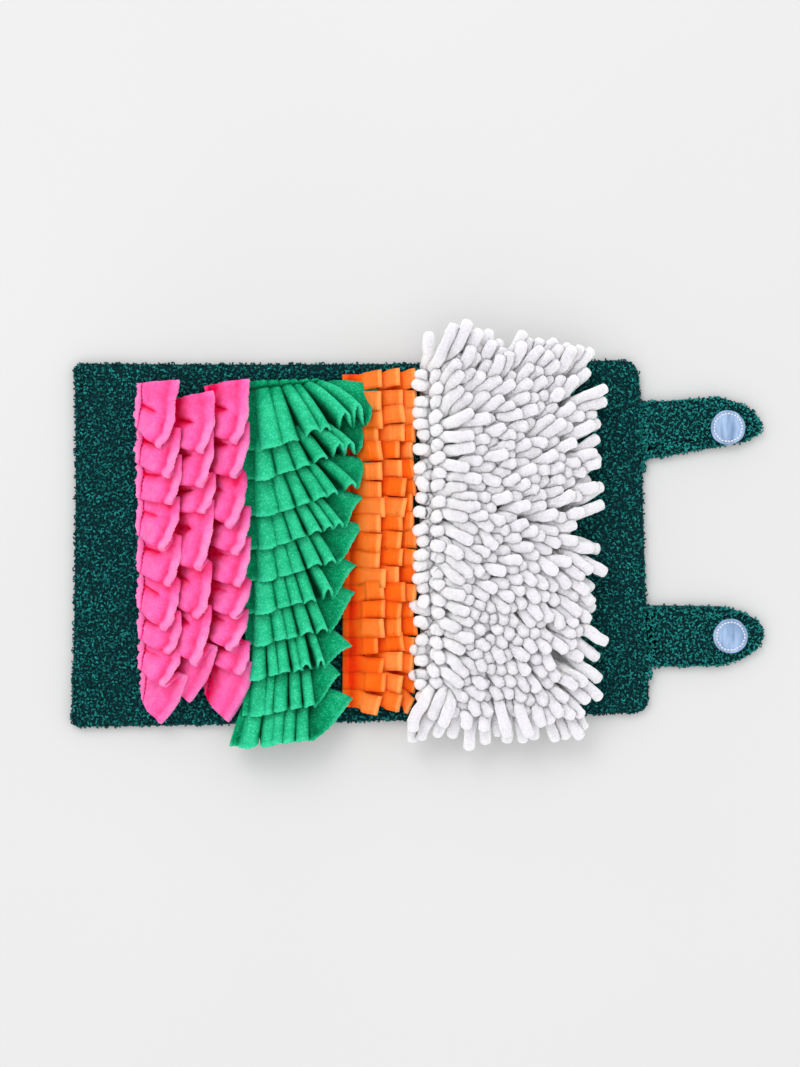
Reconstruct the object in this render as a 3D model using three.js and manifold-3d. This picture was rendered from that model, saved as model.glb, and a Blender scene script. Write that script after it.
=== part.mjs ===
// Sushi-roll snuffle toy, laid open on its back. A boucle mat with two closing straps carries three
// pleated pink strips, ten pleated green strips, three looped orange strips and a white noodle panel.
// Millimetres. The origin is the middle of the mat's underside, +X runs along the mat towards the straps,
// and +Z is up. Each sewn-on piece lies a small gap above what it is sewn to.
import * as THREE from "three";
import { mergeVertices } from "three/addons/utils/BufferGeometryUtils.js";
import Module from "manifold-3d";

const wasm = await Module();
wasm.setup();

// Driving dimensions
const MAT_LENGTH = 332;
const MAT_WIDTH = 211;
const MAT_THICK = 7;
const MAT_EDGE = 2.4; // the rolled edge of the turned mat
const STRAP_THICK = 6;
const SEWN_GAP = 0.3; // between pieces that touch
const FLEECE = 1.0; // pleated and looped cloth
const LAYER = 1.45; // from one pressed layer of a pleat to the next
const DOT_RADIUS = 10;
const DOT_THICK = 1.2;
const NOODLE_RADIUS = 3.8;
const NOODLE_LENGTH = 27;
const PANEL_CLOTH = 1.4; // the noodle panel's own cloth

const MAT_TOP = MAT_THICK;
const SEWN_ON = MAT_TOP + SEWN_GAP; // the lowest face of what is sewn to the mat
const DEGREES = Math.PI / 180;

const COLOURS = {
  boucle: new THREE.MeshStandardMaterial({ color: 0x0c4a48, roughness: 0.95, metalness: 0 }),
  pinkFleece: new THREE.MeshStandardMaterial({ color: 0xfa5fa8, roughness: 0.9, metalness: 0 }),
  greenFleece: new THREE.MeshStandardMaterial({ color: 0x14a86a, roughness: 0.9, metalness: 0 }),
  orangeFelt: new THREE.MeshStandardMaterial({ color: 0xf8691c, roughness: 0.9, metalness: 0 }),
  chenille: new THREE.MeshStandardMaterial({ color: 0xf1eef4, roughness: 0.95, metalness: 0 }),
  loopTape: new THREE.MeshStandardMaterial({ color: 0x93b2d8, roughness: 0.7, metalness: 0 }),
};

const toy = new THREE.Group();

function add(name, geometry, material) {
  const mesh = new THREE.Mesh(geometry, material);
  mesh.name = name;
  toy.add(mesh);
}

// A repeatable number from 0 to 1 for piece i, use k
function chance(i, k) {
  const wave = Math.sin(i * 12.9898 + k * 78.233) * 43758.5453;
  return wave - Math.floor(wave);
}

const uneven = (i, k, share) => 1 + share * (2 * chance(i, k) - 1);
const mix = (a, b, t) => a + (b - a) * t;

function ease(t) {
  const u = Math.min(1, Math.max(0, t));
  return u * u * (3 - 2 * u);
}

// ---- Solids ----

function toSolid(geometry) {
  const bare = new THREE.BufferGeometry();
  bare.setAttribute("position", geometry.getAttribute("position").clone());
  if (geometry.index) bare.setIndex(geometry.index.clone());
  const merged = mergeVertices(bare, 1e-4);
  return new wasm.Manifold(
    new wasm.Mesh({
      numProp: 3,
      vertProperties: merged.attributes.position.array,
      triVerts: new Uint32Array(merged.index.array),
    }),
  );
}

function toGeometry(solid) {
  const mesh = solid.getMesh();
  const geometry = new THREE.BufferGeometry();
  geometry.setAttribute("position", new THREE.BufferAttribute(mesh.vertProperties, 3));
  geometry.setIndex(new THREE.BufferAttribute(mesh.triVerts, 1));
  return geometry;
}

// Turns a closed indexed geometry's faces outwards
function faceOut(geometry) {
  const p = geometry.getAttribute("position");
  const index = geometry.index.array;
  const [a, b, c] = [new THREE.Vector3(), new THREE.Vector3(), new THREE.Vector3()];
  let volume = 0;
  for (let i = 0; i < index.length; i += 3) {
    a.fromBufferAttribute(p, index[i]);
    b.fromBufferAttribute(p, index[i + 1]);
    c.fromBufferAttribute(p, index[i + 2]);
    volume += a.dot(b.cross(c));
  }
  if (volume < 0) {
    for (let i = 0; i < index.length; i += 3) {
      [index[i + 1], index[i + 2]] = [index[i + 2], index[i + 1]];
    }
  }
  return geometry;
}

// A closed skin over rings of points, each ring with the same count. The second half of a ring runs back
// under the first, so its faces are split the same way as the ones above them.
function skin(rings) {
  const count = rings[0].length;
  const index = [];
  for (let r = 0; r + 1 < rings.length; r++) {
    for (let k = 0; k < count; k++) {
      const [a, b] = [r * count + k, r * count + ((k + 1) % count)];
      const [c, d] = [a + count, b + count];
      if (k < count / 2) index.push(a, b, c, b, d, c);
      else index.push(a, b, d, a, d, c);
    }
  }
  const last = (rings.length - 1) * count;
  for (let k = 0; k + 1 < count / 2; k++) {
    const [a, b, c, d] = [k, k + 1, count - 2 - k, count - 1 - k];
    index.push(a, d, b, last + a, last + b, last + d);
    if (b !== c) index.push(b, d, c, last + b, last + c, last + d);
  }
  const geometry = new THREE.BufferGeometry().setFromPoints(rings.flat());
  geometry.setIndex(index);
  return faceOut(geometry);
}

// ---- The mat and its straps ----

// The mat's right-hand edge runs a little out of square
const rightEdge = (y) => MAT_LENGTH / 2 + 0.5 - 0.03 * y;

const MAT_CORNERS = [
  { x: -MAT_LENGTH / 2 + 1.5, y: MAT_WIDTH / 2 - 2.5, round: 5, bow: 1.2 },
  { x: -MAT_LENGTH / 2 - 0.5, y: -MAT_WIDTH / 2 - 3.5, round: 6, bow: -0.8 },
  { x: rightEdge(-MAT_WIDTH / 2 + 5), y: -MAT_WIDTH / 2 + 5, round: 10, bow: 0 },
  { x: rightEdge(MAT_WIDTH / 2 - 0.5), y: MAT_WIDTH / 2 - 0.5, round: 12, bow: 1.4 },
];

// A closed outline through corners, each edge bowed out by its first corner's bow
function bowedOutline(corners) {
  const shape = new THREE.Shape();
  const at = (c) => new THREE.Vector2(c.x, c.y);
  corners.forEach((corner, i) => {
    const next = corners[(i + 1) % corners.length];
    const after = corners[(i + 2) % corners.length];
    const edge = at(next).sub(at(corner));
    const leave = at(corner).addScaledVector(edge, corner.round / edge.length());
    const arrive = at(next).addScaledVector(edge, -next.round / edge.length());
    const outward = new THREE.Vector2(edge.y, -edge.x).normalize();
    const pull = at(corner).add(at(next)).multiplyScalar(0.5);
    pull.addScaledVector(outward, -2 * corner.bow);
    const turn = at(after).sub(at(next));
    const go = at(next).addScaledVector(turn, next.round / turn.length());
    if (i === 0) shape.moveTo(leave.x, leave.y);
    shape.quadraticCurveTo(pull.x, pull.y, arrive.x, arrive.y);
    shape.quadraticCurveTo(next.x, next.y, go.x, go.y);
  });
  return shape;
}

function softSlab(shape, thick, edge) {
  return new THREE.ExtrudeGeometry(shape, {
    depth: thick - 2 * edge,
    bevelThickness: edge,
    bevelSize: edge,
    bevelOffset: -edge,
    bevelSegments: 2,
    curveSegments: 4,
  }).translate(0, 0, edge);
}

add("mat", softSlab(bowedOutline(MAT_CORNERS), MAT_THICK, MAT_EDGE), COLOURS.boucle);

// tipBlunt is how far the rounded tip's pull points stand off the strap's middle
const STRAPS = [
  { name: "upper", top: 79, bottom: 46, bellyTop: 82.5, bellyBottom: 54, tipY: 64, tipX: 235, blunt: 9, dotX: 214, dotY: 65 },
  { name: "lower", top: -39, bottom: -74, bellyTop: -37.5, bellyBottom: -73, tipY: -53.5, tipX: 236, blunt: 15, dotX: 215.5, dotY: -55.5 },
];

function strapOutline(strap) {
  const root = (y) => rightEdge(y) + SEWN_GAP;
  const bellyX = mix(root(0), strap.tipX, 0.6);
  const shape = new THREE.Shape();
  shape.moveTo(root(strap.bottom), strap.bottom);
  shape.lineTo(bellyX, strap.bellyBottom);
  shape.quadraticCurveTo(strap.tipX - 6, strap.tipY - strap.blunt, strap.tipX, strap.tipY);
  shape.quadraticCurveTo(strap.tipX - 6, strap.tipY + strap.blunt, bellyX, strap.bellyTop);
  shape.lineTo(root(strap.top), strap.top);
  shape.closePath();
  return shape;
}

for (const strap of STRAPS) {
  add("strap_" + strap.name, softSlab(strapOutline(strap), STRAP_THICK, MAT_EDGE), COLOURS.boucle);
  const dot = new THREE.CylinderGeometry(DOT_RADIUS, DOT_RADIUS, DOT_THICK, 24)
    .rotateX(Math.PI / 2)
    .translate(strap.dotX, strap.dotY, STRAP_THICK + SEWN_GAP + DOT_THICK / 2);
  add("dot_" + strap.name, dot, COLOURS.loopTape);
}

// ---- Pleated strips ----

// One pleat, in the order of the cloth: the panel, the fold on top, then back under to the hidden fold.
// Along is in pleat pitches. At the sewn edge the cloth is pressed in layers, and at the free edge it
// stands off the strip's plane by its lift in millimetres. Pull is the share of the strip's width by which
// the free edge is drawn back, so the cloth arches.
const CREASED_PLEAT = [
  { sewnAlong: -0.1, layer: 0, freeAlong: 0.06, lift: 0, pull: 0 },
  { sewnAlong: 0.28, layer: 0, freeAlong: 0.5, lift: 1.7, pull: 0 },
  { sewnAlong: 0.36, layer: 0, freeAlong: 0.84, lift: 1.3, pull: 0.08 },
  { sewnAlong: 0.82, layer: 2, freeAlong: 1.14, lift: 5.4, pull: 0.18 },
  { sewnAlong: 1.14, layer: 2, freeAlong: 1.4, lift: 6.6, pull: 0.24 },
  { sewnAlong: 1.14, layer: 1, freeAlong: 1.44, lift: 4.6, pull: 0.2 },
  { sewnAlong: 0.9, layer: 1, freeAlong: 1.06, lift: 1.5, pull: 0.04 },
];
const PLAIN_PLEAT = [
  { sewnAlong: -0.1, layer: 0, freeAlong: -0.05, lift: 0, pull: 0.02 },
  { sewnAlong: 0.3, layer: 0, freeAlong: 0.42, lift: 0.7, pull: 0.02 },
  { sewnAlong: 0.82, layer: 2, freeAlong: 0.84, lift: 4.8, pull: 0.02 },
  { sewnAlong: 1.16, layer: 2, freeAlong: 1.26, lift: 5.6, pull: 0.03 },
  { sewnAlong: 1.16, layer: 1, freeAlong: 1.3, lift: 3.8, pull: 0.03 },
  { sewnAlong: 0.9, layer: 1, freeAlong: 0.93, lift: 1.6, pull: 0.02 },
];
// The free edge of a plain pleat that stands up in an open wave
const OPEN_WAVE = [
  { freeAlong: 0.0, lift: -3 },
  { freeAlong: 0.26, lift: -2.4 },
  { freeAlong: 0.5, lift: 4.6 },
  { freeAlong: 0.86, lift: 6.4 },
  { freeAlong: 1.04, lift: 3.8 },
  { freeAlong: 0.9, lift: -1 },
];

// The columns of a strip, from its cut start to its cut end. Each holds the sewn point and the free point
// as distances along the seam and lifts off the strip's own plane. A strip starts with a flat flap and ends
// with a part pleat that fans out.
function pleatColumns(strip) {
  const columns = [{ sewnAlong: 0, sewnLift: 0, freeAlong: 0, freeLift: 0, pull: 0, fan: 0 }];
  for (let i = 0; i <= strip.pleats; i++) {
    const last = i === strip.pleats;
    const used = last ? strip.endColumns : strip.pleat.length;
    const tall = uneven(strip.seed + i, 1, 0.2);
    const shift = 0.2 * (chance(strip.seed + i, 2) - 0.5);
    const open = mix(strip.openStart, strip.openEnd, i / strip.pleats);
    for (let k = 0; k < used; k++) {
      const p = strip.pleat[k];
      const wave = open > 0 ? OPEN_WAVE[k] : p;
      columns.push({
        sewnAlong: strip.flap + (i + p.sewnAlong) * strip.pitch,
        sewnLift: p.layer * LAYER,
        freeAlong: strip.flap + (i + mix(p.freeAlong, wave.freeAlong, open) + shift) * strip.pitch,
        freeLift: mix(p.lift, wave.lift, open) * tall,
        pull: p.pull,
        fan: last ? (strip.endFan * k) / (used - 1) : 0,
      });
    }
  }
  return columns;
}

// The directions square to a folded line, mitred at its bends
function mitres(points) {
  return points.map((p, i) => {
    const before = points[Math.max(0, i - 1)];
    const after = points[Math.min(points.length - 1, i + 1)];
    const way = (a, b) => (a === b ? null : new THREE.Vector2(b.x - a.x, b.y - a.y).normalize());
    const [arriving, leaving] = [way(before, p) ?? way(p, after), way(p, after) ?? way(before, p)];
    const normal = new THREE.Vector2(-arriving.y - leaving.y, arriving.x + leaving.x);
    if (normal.length() < 0.2) normal.set(leaving.x - arriving.x, leaving.y - arriving.y);
    return normal.normalize();
  });
}

// A pleated strip as a thin solid. Along is the seam's direction, across points from the seam to the
// free edge, and the strip's plane rises from the mat by its own angle at each end. Where the free edge is
// drawn back, the cloth between arches up by its arch share of the slack.
function pleatedStrip(strip) {
  const columns = pleatColumns(strip);
  const sewnMitres = mitres(columns.map((c) => new THREE.Vector2(c.sewnAlong, c.sewnLift)));
  const freeMitres = mitres(columns.map((c) => new THREE.Vector2(c.freeAlong, c.freeLift)));
  const up = new THREE.Vector3(0, 0, 1);
  const length = strip.flap + strip.pleats * strip.pitch;
  const rings = columns.map((c, i) => {
    const place = c.freeAlong / length;
    const rise = mix(strip.riseStart, strip.riseEnd, place) * DEGREES;
    const slant = (mix(strip.slantStart, strip.slantEnd, place) + c.fan) * DEGREES;
    const outward = strip.across.clone().multiplyScalar(Math.cos(rise)).addScaledVector(up, Math.sin(rise));
    const normal = strip.across.clone().multiplyScalar(-Math.sin(rise)).addScaledVector(up, Math.cos(rise));
    const chord = strip.width * (1 - c.pull);
    const along = c.freeAlong - c.sewnAlong + strip.width * Math.sin(slant);
    const lift = c.freeLift - c.sewnLift;
    const reach = Math.sqrt(Math.max(chord ** 2 - along ** 2 - lift ** 2, (0.3 * chord) ** 2));
    const arch = strip.arch * chord * Math.sqrt(0.375 * (strip.width / chord - 1));
    const seam = strip.start.clone().addScaledVector(strip.along, c.sewnAlong);
    seam.addScaledVector(normal, c.sewnLift);
    const edge = seam.clone().addScaledVector(strip.along, along);
    edge.addScaledVector(outward, reach).addScaledVector(normal, lift);
    const over = [];
    const under = [];
    for (const t of strip.stations) {
      const middle = seam.clone().lerp(edge, t).addScaledVector(normal, 4 * t * (1 - t) * arch);
      const bend = sewnMitres[i].clone().lerp(freeMitres[i], t).normalize().multiplyScalar(FLEECE / 2);
      const aside = strip.along.clone().multiplyScalar(bend.x).addScaledVector(normal, bend.y);
      over.push(middle.clone().add(aside));
      under.unshift(middle.sub(aside));
    }
    return [...over, ...under];
  });
  return skin(rings);
}

const SEAM_Z = SEWN_ON + FLEECE / 2;

// The pink strips run down the mat (-Y), and their free edges point at the straps
const PINK_WIDTH = 31;
const PINK_STRIPS = [
  { seamX: -132.8, topY: 92, pitch: 19.3, pleats: 8, seed: 11, rise: 25, slantStart: -4, slantEnd: 4, endFan: 22 },
  { seamX: -113.8, topY: 84, pitch: 19.3, pleats: 7, seed: 31, rise: 26, slantStart: -5, slantEnd: 2, endFan: 18 },
  { seamX: -93.8, topY: 92, pitch: 19.7, pleats: 8, seed: 57, rise: 23, slantStart: -6, slantEnd: 2, endFan: 10 },
];

PINK_STRIPS.forEach((row, i) => {
  const strip = pleatedStrip({
    ...row,
    start: new THREE.Vector3(row.seamX, row.topY, SEAM_Z),
    along: new THREE.Vector3(0, -1, 0),
    across: new THREE.Vector3(1, 0, 0),
    width: PINK_WIDTH,
    flap: 3,
    pleat: CREASED_PLEAT,
    endColumns: 5,
    stations: [0, 0.55, 1],
    arch: 0.4,
    openStart: 0,
    openEnd: 0,
    riseStart: row.rise,
    riseEnd: row.rise,
  });
  add("pink_strip_" + (i + 1), strip, COLOURS.pinkFleece);
});

// The green strips run across the mat (+X), lie on each other like shingles and point down the mat. The
// top ones stand up at their right-hand end.
const GREEN_WIDTH = 36;
const GREEN_LEFT = -63;
const GREEN_STRIPS = [
  { seamY: 92, pitch: 8.7, riseStart: 20, riseEnd: 52, openStart: 0.15, openEnd: 1, slantStart: 0, slantEnd: 26, endFan: 11 },
  { seamY: 70, pitch: 8.4, riseStart: 20, riseEnd: 48, openStart: 0, openEnd: 0.9, slantStart: 0, slantEnd: 24, endFan: 9 },
  { seamY: 50, pitch: 8.4, riseStart: 19, riseEnd: 36, openStart: 0, openEnd: 0.6, slantStart: -1, slantEnd: 26, endFan: 11 },
  { seamY: 30, pitch: 8, riseStart: 19, riseEnd: 28, openStart: 0, openEnd: 0.3, slantStart: -1, slantEnd: 20, endFan: 9 },
  { seamY: 11, pitch: 8, riseStart: 19, riseEnd: 24, openStart: 0, openEnd: 0, slantStart: 0, slantEnd: 22, endFan: 10 },
  { seamY: -8, pitch: 7.5, riseStart: 19, riseEnd: 22, openStart: 0, openEnd: 0, slantStart: -1, slantEnd: 18, endFan: 9 },
  { seamY: -27, pitch: 7.3, riseStart: 19, riseEnd: 21, openStart: 0, openEnd: 0, slantStart: 0, slantEnd: 16, endFan: 9 },
  { seamY: -46, pitch: 7.3, riseStart: 19, riseEnd: 21, openStart: 0, openEnd: 0, slantStart: -1, slantEnd: 15, endFan: 8 },
  { seamY: -65.5, pitch: 7, riseStart: 19, riseEnd: 20, openStart: 0, openEnd: 0, slantStart: -1, slantEnd: 10, endFan: 6 },
  { seamY: -85, pitch: 7.3, riseStart: 18, riseEnd: 19, openStart: 0, openEnd: 0, slantStart: -14, slantEnd: 12, endFan: 14 },
];

GREEN_STRIPS.forEach((row, i) => {
  const strip = pleatedStrip({
    ...row,
    start: new THREE.Vector3(GREEN_LEFT, row.seamY, SEAM_Z),
    along: new THREE.Vector3(1, 0, 0),
    across: new THREE.Vector3(0, -1, 0),
    width: GREEN_WIDTH,
    flap: 7,
    pleats: 4,
    pleat: PLAIN_PLEAT,
    endColumns: 3,
    stations: [0, 1],
    arch: 0.5,
    seed: 105 + 13 * i,
  });
  add("green_strip_" + String(i + 1).padStart(2, "0"), strip, COLOURS.greenFleece);
});

// ---- Looped orange strips ----

const LOOP_PITCH = 10.2;
const LOOP_BAND = 9.6; // each band's own width, so a slit shows between bands
const LOOP_HEADING = 5; // the sewn edge left of the loops
const LOOP_STRIPS = [
  { seamX: -3.4, reach: 19.5, topY: 96, loops: 18, rise: 21, seed: 7 },
  { seamX: 9.4, reach: 18.5, topY: 98.5, loops: 19, rise: 20, seed: 43 },
  { seamX: 20.8, reach: 13.5, topY: 98.5, loops: 20, rise: 14, seed: 83 },
];

// The section of one folded band: the lower layer runs out from the seam, turns and comes back on top
function loopSection(reach, swell) {
  const outer = new THREE.Shape();
  outer.moveTo(-0.5, 0);
  outer.lineTo(reach - 1, 0);
  outer.lineTo(reach, 1.2 + swell / 2);
  outer.lineTo(reach - 1.4, 2.6 + swell);
  outer.lineTo(-0.5, 2.3);
  outer.closePath();
  const inner = new THREE.Path();
  inner.moveTo(4, FLEECE + 0.1);
  inner.lineTo(reach - 2, 1.5 + swell);
  inner.lineTo(reach - 1.6, FLEECE);
  inner.closePath();
  outer.holes.push(inner);
  return outer;
}

function loopStrip(row) {
  const length = row.loops * LOOP_PITCH;
  let strip = toSolid(
    new THREE.BoxGeometry(LOOP_HEADING, length, 2 * FLEECE).translate(-LOOP_HEADING / 2, -length / 2, FLEECE),
  );
  for (let i = 0; i < row.loops; i++) {
    const reach = row.reach * uneven(row.seed + i, 1, 0.06);
    const swell = 0.9 * uneven(row.seed + i, 2, 0.8);
    const rise = row.rise + 2 * (2 * chance(row.seed + i, 3) - 1);
    const band = new THREE.ExtrudeGeometry(loopSection(reach, swell), { depth: LOOP_BAND, bevelEnabled: false });
    band.rotateX(Math.PI / 2);
    band.rotateY(-rise * DEGREES);
    band.translate(-1.2, -(i * LOOP_PITCH + 0.3), 0.35);
    strip = strip.add(toSolid(band));
  }
  return toGeometry(strip).translate(row.seamX, row.topY, SEWN_ON);
}

LOOP_STRIPS.forEach((row, i) => {
  add("orange_strip_" + (i + 1), loopStrip(row), COLOURS.orangeFelt);
});

// ---- The noodle panel ----

const PANEL = { left: 36, right: 127, top: 102, bottom: -98 };
const PILE_CELLS = { x: 12, y: 25 };
const PILE_EDGE = 12; // height of the pile at the panel's border
const PILE_CROWN = 22; // and in its middle
const PILE_LUMP = 3; // noodle ends stand this much above and below it

// The mass of standing noodles, a lumpy crown over the panel's cloth
function pileMass() {
  const [wide, deep] = [PANEL.right - PANEL.left, PANEL.top - PANEL.bottom];
  const geometry = new THREE.BoxGeometry(wide, deep, 1, PILE_CELLS.x, PILE_CELLS.y, 1);
  const solid = mergeVertices(geometry.deleteAttribute("normal").deleteAttribute("uv"), 1e-3);
  const p = solid.getAttribute("position");
  for (let i = 0; i < p.count; i++) {
    const top = p.getZ(i) > 0;
    const [u, v] = [(2 * p.getX(i)) / wide, (2 * p.getY(i)) / deep];
    const inside = ease(4 * (1 - Math.abs(u))) * ease(8 * (1 - Math.abs(v)));
    const lump = PILE_LUMP * (2 * chance(i, 5) - 1) * mix(0.3, 1, inside);
    const z = top ? mix(PILE_EDGE, PILE_CROWN, inside) + lump : 0;
    p.setZ(i, z);
  }
  return solid.translate(PANEL.left + wide / 2, PANEL.bottom + deep / 2, SEWN_ON);
}

// Edge noodles, a row for each side of the panel. They start inside the border, lean out at an angle
// that swings from one end of the side to the other, and sag by the time they reach their tips.
const NOODLE_SIDES = [
  { name: "right", count: 19, from: [119, 96], to: [119, -92], aimStart: 30, aimEnd: -32, sag: 2.5, seed: 3 },
  { name: "bottom", count: 11, from: [118, -91], to: [42, -91], aimStart: -58, aimEnd: -108, sag: 9, seed: 29 },
  { name: "top", count: 11, from: [42, 101], to: [117, 94], aimStart: 84, aimEnd: 50, sag: 3, seed: 61 },
];

function noodle(start, aim, sag, seed) {
  const length = NOODLE_LENGTH * uneven(seed, 1, 0.14);
  const out = new THREE.Vector3(Math.cos(aim), Math.sin(aim), 0);
  const stations = [
    { far: 0, drop: 0, radius: NOODLE_RADIUS },
    { far: 0.9, drop: 0.8, radius: NOODLE_RADIUS },
    { far: 1, drop: 1, radius: NOODLE_RADIUS * 0.5 },
  ];
  const side = new THREE.Vector3(-out.y, out.x, 0);
  const up = new THREE.Vector3(0, 0, 1);
  const rings = stations.map((s) => {
    const centre = start.clone().addScaledVector(out, s.far * length).addScaledVector(up, -s.drop * sag);
    return Array.from({ length: 6 }, (_, k) => {
      const turn = (k / 6) * 2 * Math.PI;
      const point = centre.clone().addScaledVector(side, Math.cos(turn) * s.radius);
      return point.addScaledVector(up, Math.sin(turn) * s.radius);
    });
  });
  return skin(rings);
}

function noodlePanel() {
  let panel = toSolid(pileMass());
  for (const side of NOODLE_SIDES) {
    for (let i = 0; i < side.count; i++) {
      const t = i / (side.count - 1);
      const seed = side.seed + i;
      const aim = mix(side.aimStart, side.aimEnd, t) + 12 * (chance(seed, 2) - 0.5);
      const start = new THREE.Vector3(
        mix(side.from[0], side.to[0], t),
        mix(side.from[1], side.to[1], t),
        SEWN_ON + PANEL_CLOTH + NOODLE_RADIUS + side.sag * 0.5 + 3 * chance(seed, 3),
      );
      panel = panel.add(toSolid(noodle(start, aim * DEGREES, side.sag, seed)));
    }
  }
  return toGeometry(panel);
}

add("noodle_panel", noodlePanel(), COLOURS.chenille);

export default toy;
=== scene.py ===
"""The looks of a sushi-roll snuffle toy, laid open: a boucle mat with two straps, three pleated pink
frills, ten pleated green frills, three slit orange felt strips and a panel of white chenille noodles.

Shapes are worked out in millimetres, in the frame's own axes, and each finished piece is put in metres."""

import math

import bmesh
import bpy
import numpy as np
from mathutils import Matrix, Vector, noise


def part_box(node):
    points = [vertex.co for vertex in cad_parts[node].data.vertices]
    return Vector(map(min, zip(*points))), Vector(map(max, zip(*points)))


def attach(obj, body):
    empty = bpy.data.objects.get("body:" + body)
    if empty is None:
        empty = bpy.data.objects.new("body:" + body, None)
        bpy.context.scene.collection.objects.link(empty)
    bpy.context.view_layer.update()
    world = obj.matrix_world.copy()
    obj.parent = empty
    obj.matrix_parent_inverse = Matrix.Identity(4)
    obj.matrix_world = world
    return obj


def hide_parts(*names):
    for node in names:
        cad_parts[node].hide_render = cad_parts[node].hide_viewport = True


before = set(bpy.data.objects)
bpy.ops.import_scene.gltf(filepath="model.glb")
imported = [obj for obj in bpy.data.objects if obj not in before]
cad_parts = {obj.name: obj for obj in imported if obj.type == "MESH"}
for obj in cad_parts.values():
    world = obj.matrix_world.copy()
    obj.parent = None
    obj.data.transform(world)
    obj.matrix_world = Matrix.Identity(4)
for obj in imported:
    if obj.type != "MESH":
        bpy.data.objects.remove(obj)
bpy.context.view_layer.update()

MM = 0.001
MAT_LENGTH = 332
MAT_WIDTH = 211
MAT_THICK = 7
STRAP_THICK = 6
SEWN_ON = MAT_THICK + 0.3
FLEECE = 1.0
FLOOR_LIFT = 0.2
RIB = 1.5  # from one rib of a chenille noodle to the next
PILE_TOP = 30  # the noodles' middle lines settle no higher than this


# ---- Small helpers ----


def chance(i, k):
    """A repeatable number from 0 to 1 for piece i, use k."""
    wave = math.sin(i * 12.9898 + k * 78.233) * 43758.5453
    return wave - math.floor(wave)


def either_way(i, k):
    """A repeatable number from -1 to 1."""
    return 2 * chance(i, k) - 1


def uneven(i, k, share):
    """A repeatable number near 1, off by up to the share."""
    return 1 + share * either_way(i, k)


def mix(a, b, t):
    return a + (b - a) * t


def ease(t):
    """Goes smoothly from 0 to 1 as t does."""
    u = np.clip(t, 0, 1)
    return u * u * (3 - 2 * u)


def bell(t):
    return np.exp(-(t**2))


def unit(v):
    return v / np.maximum(np.linalg.norm(v, axis=-1, keepdims=True), 1e-9)


def steps_along(run):
    return np.hypot(*np.diff(run, axis=0).T)


def summed(steps):
    """How far along a run each of its rows lies."""
    return np.concatenate([[0], np.cumsum(steps)])


def rows_at(at, far, run):
    """The run's row at each distance along it."""
    return np.stack([np.interp(at, far, column) for column in run.T], axis=1)


def quad_curve(a, pull, b, count, whole=False):
    """Points on a curve from a to b, drawn towards the pull, without b unless whole."""
    t = np.linspace(0, 1, count, endpoint=whole)[:, None]
    return (1 - t) ** 2 * a + 2 * t * (1 - t) * pull + t**2 * b


def rounded_run(rows, share, steps=7):
    """A run through the rows with each corner rounded off over a share of its sides."""
    run = [rows[:1]]
    for before, here, after in zip(rows, rows[1:], rows[2:]):
        run.append(quad_curve(mix(here, before, share), here, mix(here, after, share), steps, True))
    run.append(rows[-1:])
    return np.concatenate(run)


def node_box(name):
    """A CAD node's lowest and highest corner in millimetres."""
    low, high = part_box(name)
    return np.array(low) / MM, np.array(high) / MM


def metre_mesh(bm, name):
    """A mesh in metres from a bmesh in millimetres."""
    bmesh.ops.scale(bm, vec=(MM, MM, MM), verts=bm.verts)
    mesh = bpy.data.meshes.new(name)
    bm.to_mesh(mesh)
    bm.free()
    return mesh


def in_scene(name, data):
    thing = bpy.data.objects.new(name, data)
    bpy.context.scene.collection.objects.link(thing)
    return thing


def finished(bm, name, material):
    """A piece in metres, from a bmesh in millimetres."""
    return finished_mesh(metre_mesh(bm, name), name, material)


def finished_mesh(mesh, name, material):
    """A smooth piece of one material that rides on the toy."""
    mesh.polygons.foreach_set("use_smooth", [True] * len(mesh.polygons))
    mesh.materials.clear()
    mesh.materials.append(material)
    piece = in_scene(name, mesh)
    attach(piece, "root")
    return piece


def add(whole, part):
    """Puts a small bmesh into a larger one."""
    keep = bpy.data.meshes.new("part")
    part.to_mesh(keep)
    part.free()
    whole.from_mesh(keep)
    bpy.data.meshes.remove(keep)


def thicken(piece, thick):
    """Gives a cloth its thickness, half to each side."""
    wall = piece.modifiers.new("Cloth thickness", "SOLIDIFY")
    wall.thickness = thick * MM
    wall.offset = 0
    wall.use_even_offset = False


def cloth_grid(points, tone_and_painted_light=None):
    """A cloth as a grid, its corners at points[column, station], its colour from deep, 0, to pale, 1, which
    carries its painted light and shade.
    """
    columns, stations = points.shape[:2]
    bm = bmesh.new()
    bmesh.ops.create_grid(bm, x_segments=columns - 1, y_segments=stations - 1, size=0.5)
    painted_light_layer = bm.verts.layers.float.new("tone_and_painted_light")
    for corner in bm.verts:
        i = round((corner.co.x + 0.5) * (columns - 1))
        j = round((corner.co.y + 0.5) * (stations - 1))
        corner.co = points[i, j]
        corner[painted_light_layer] = 0.5 if tone_and_painted_light is None else tone_and_painted_light[i, j]
    return bm


# ---- Materials ----


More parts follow.
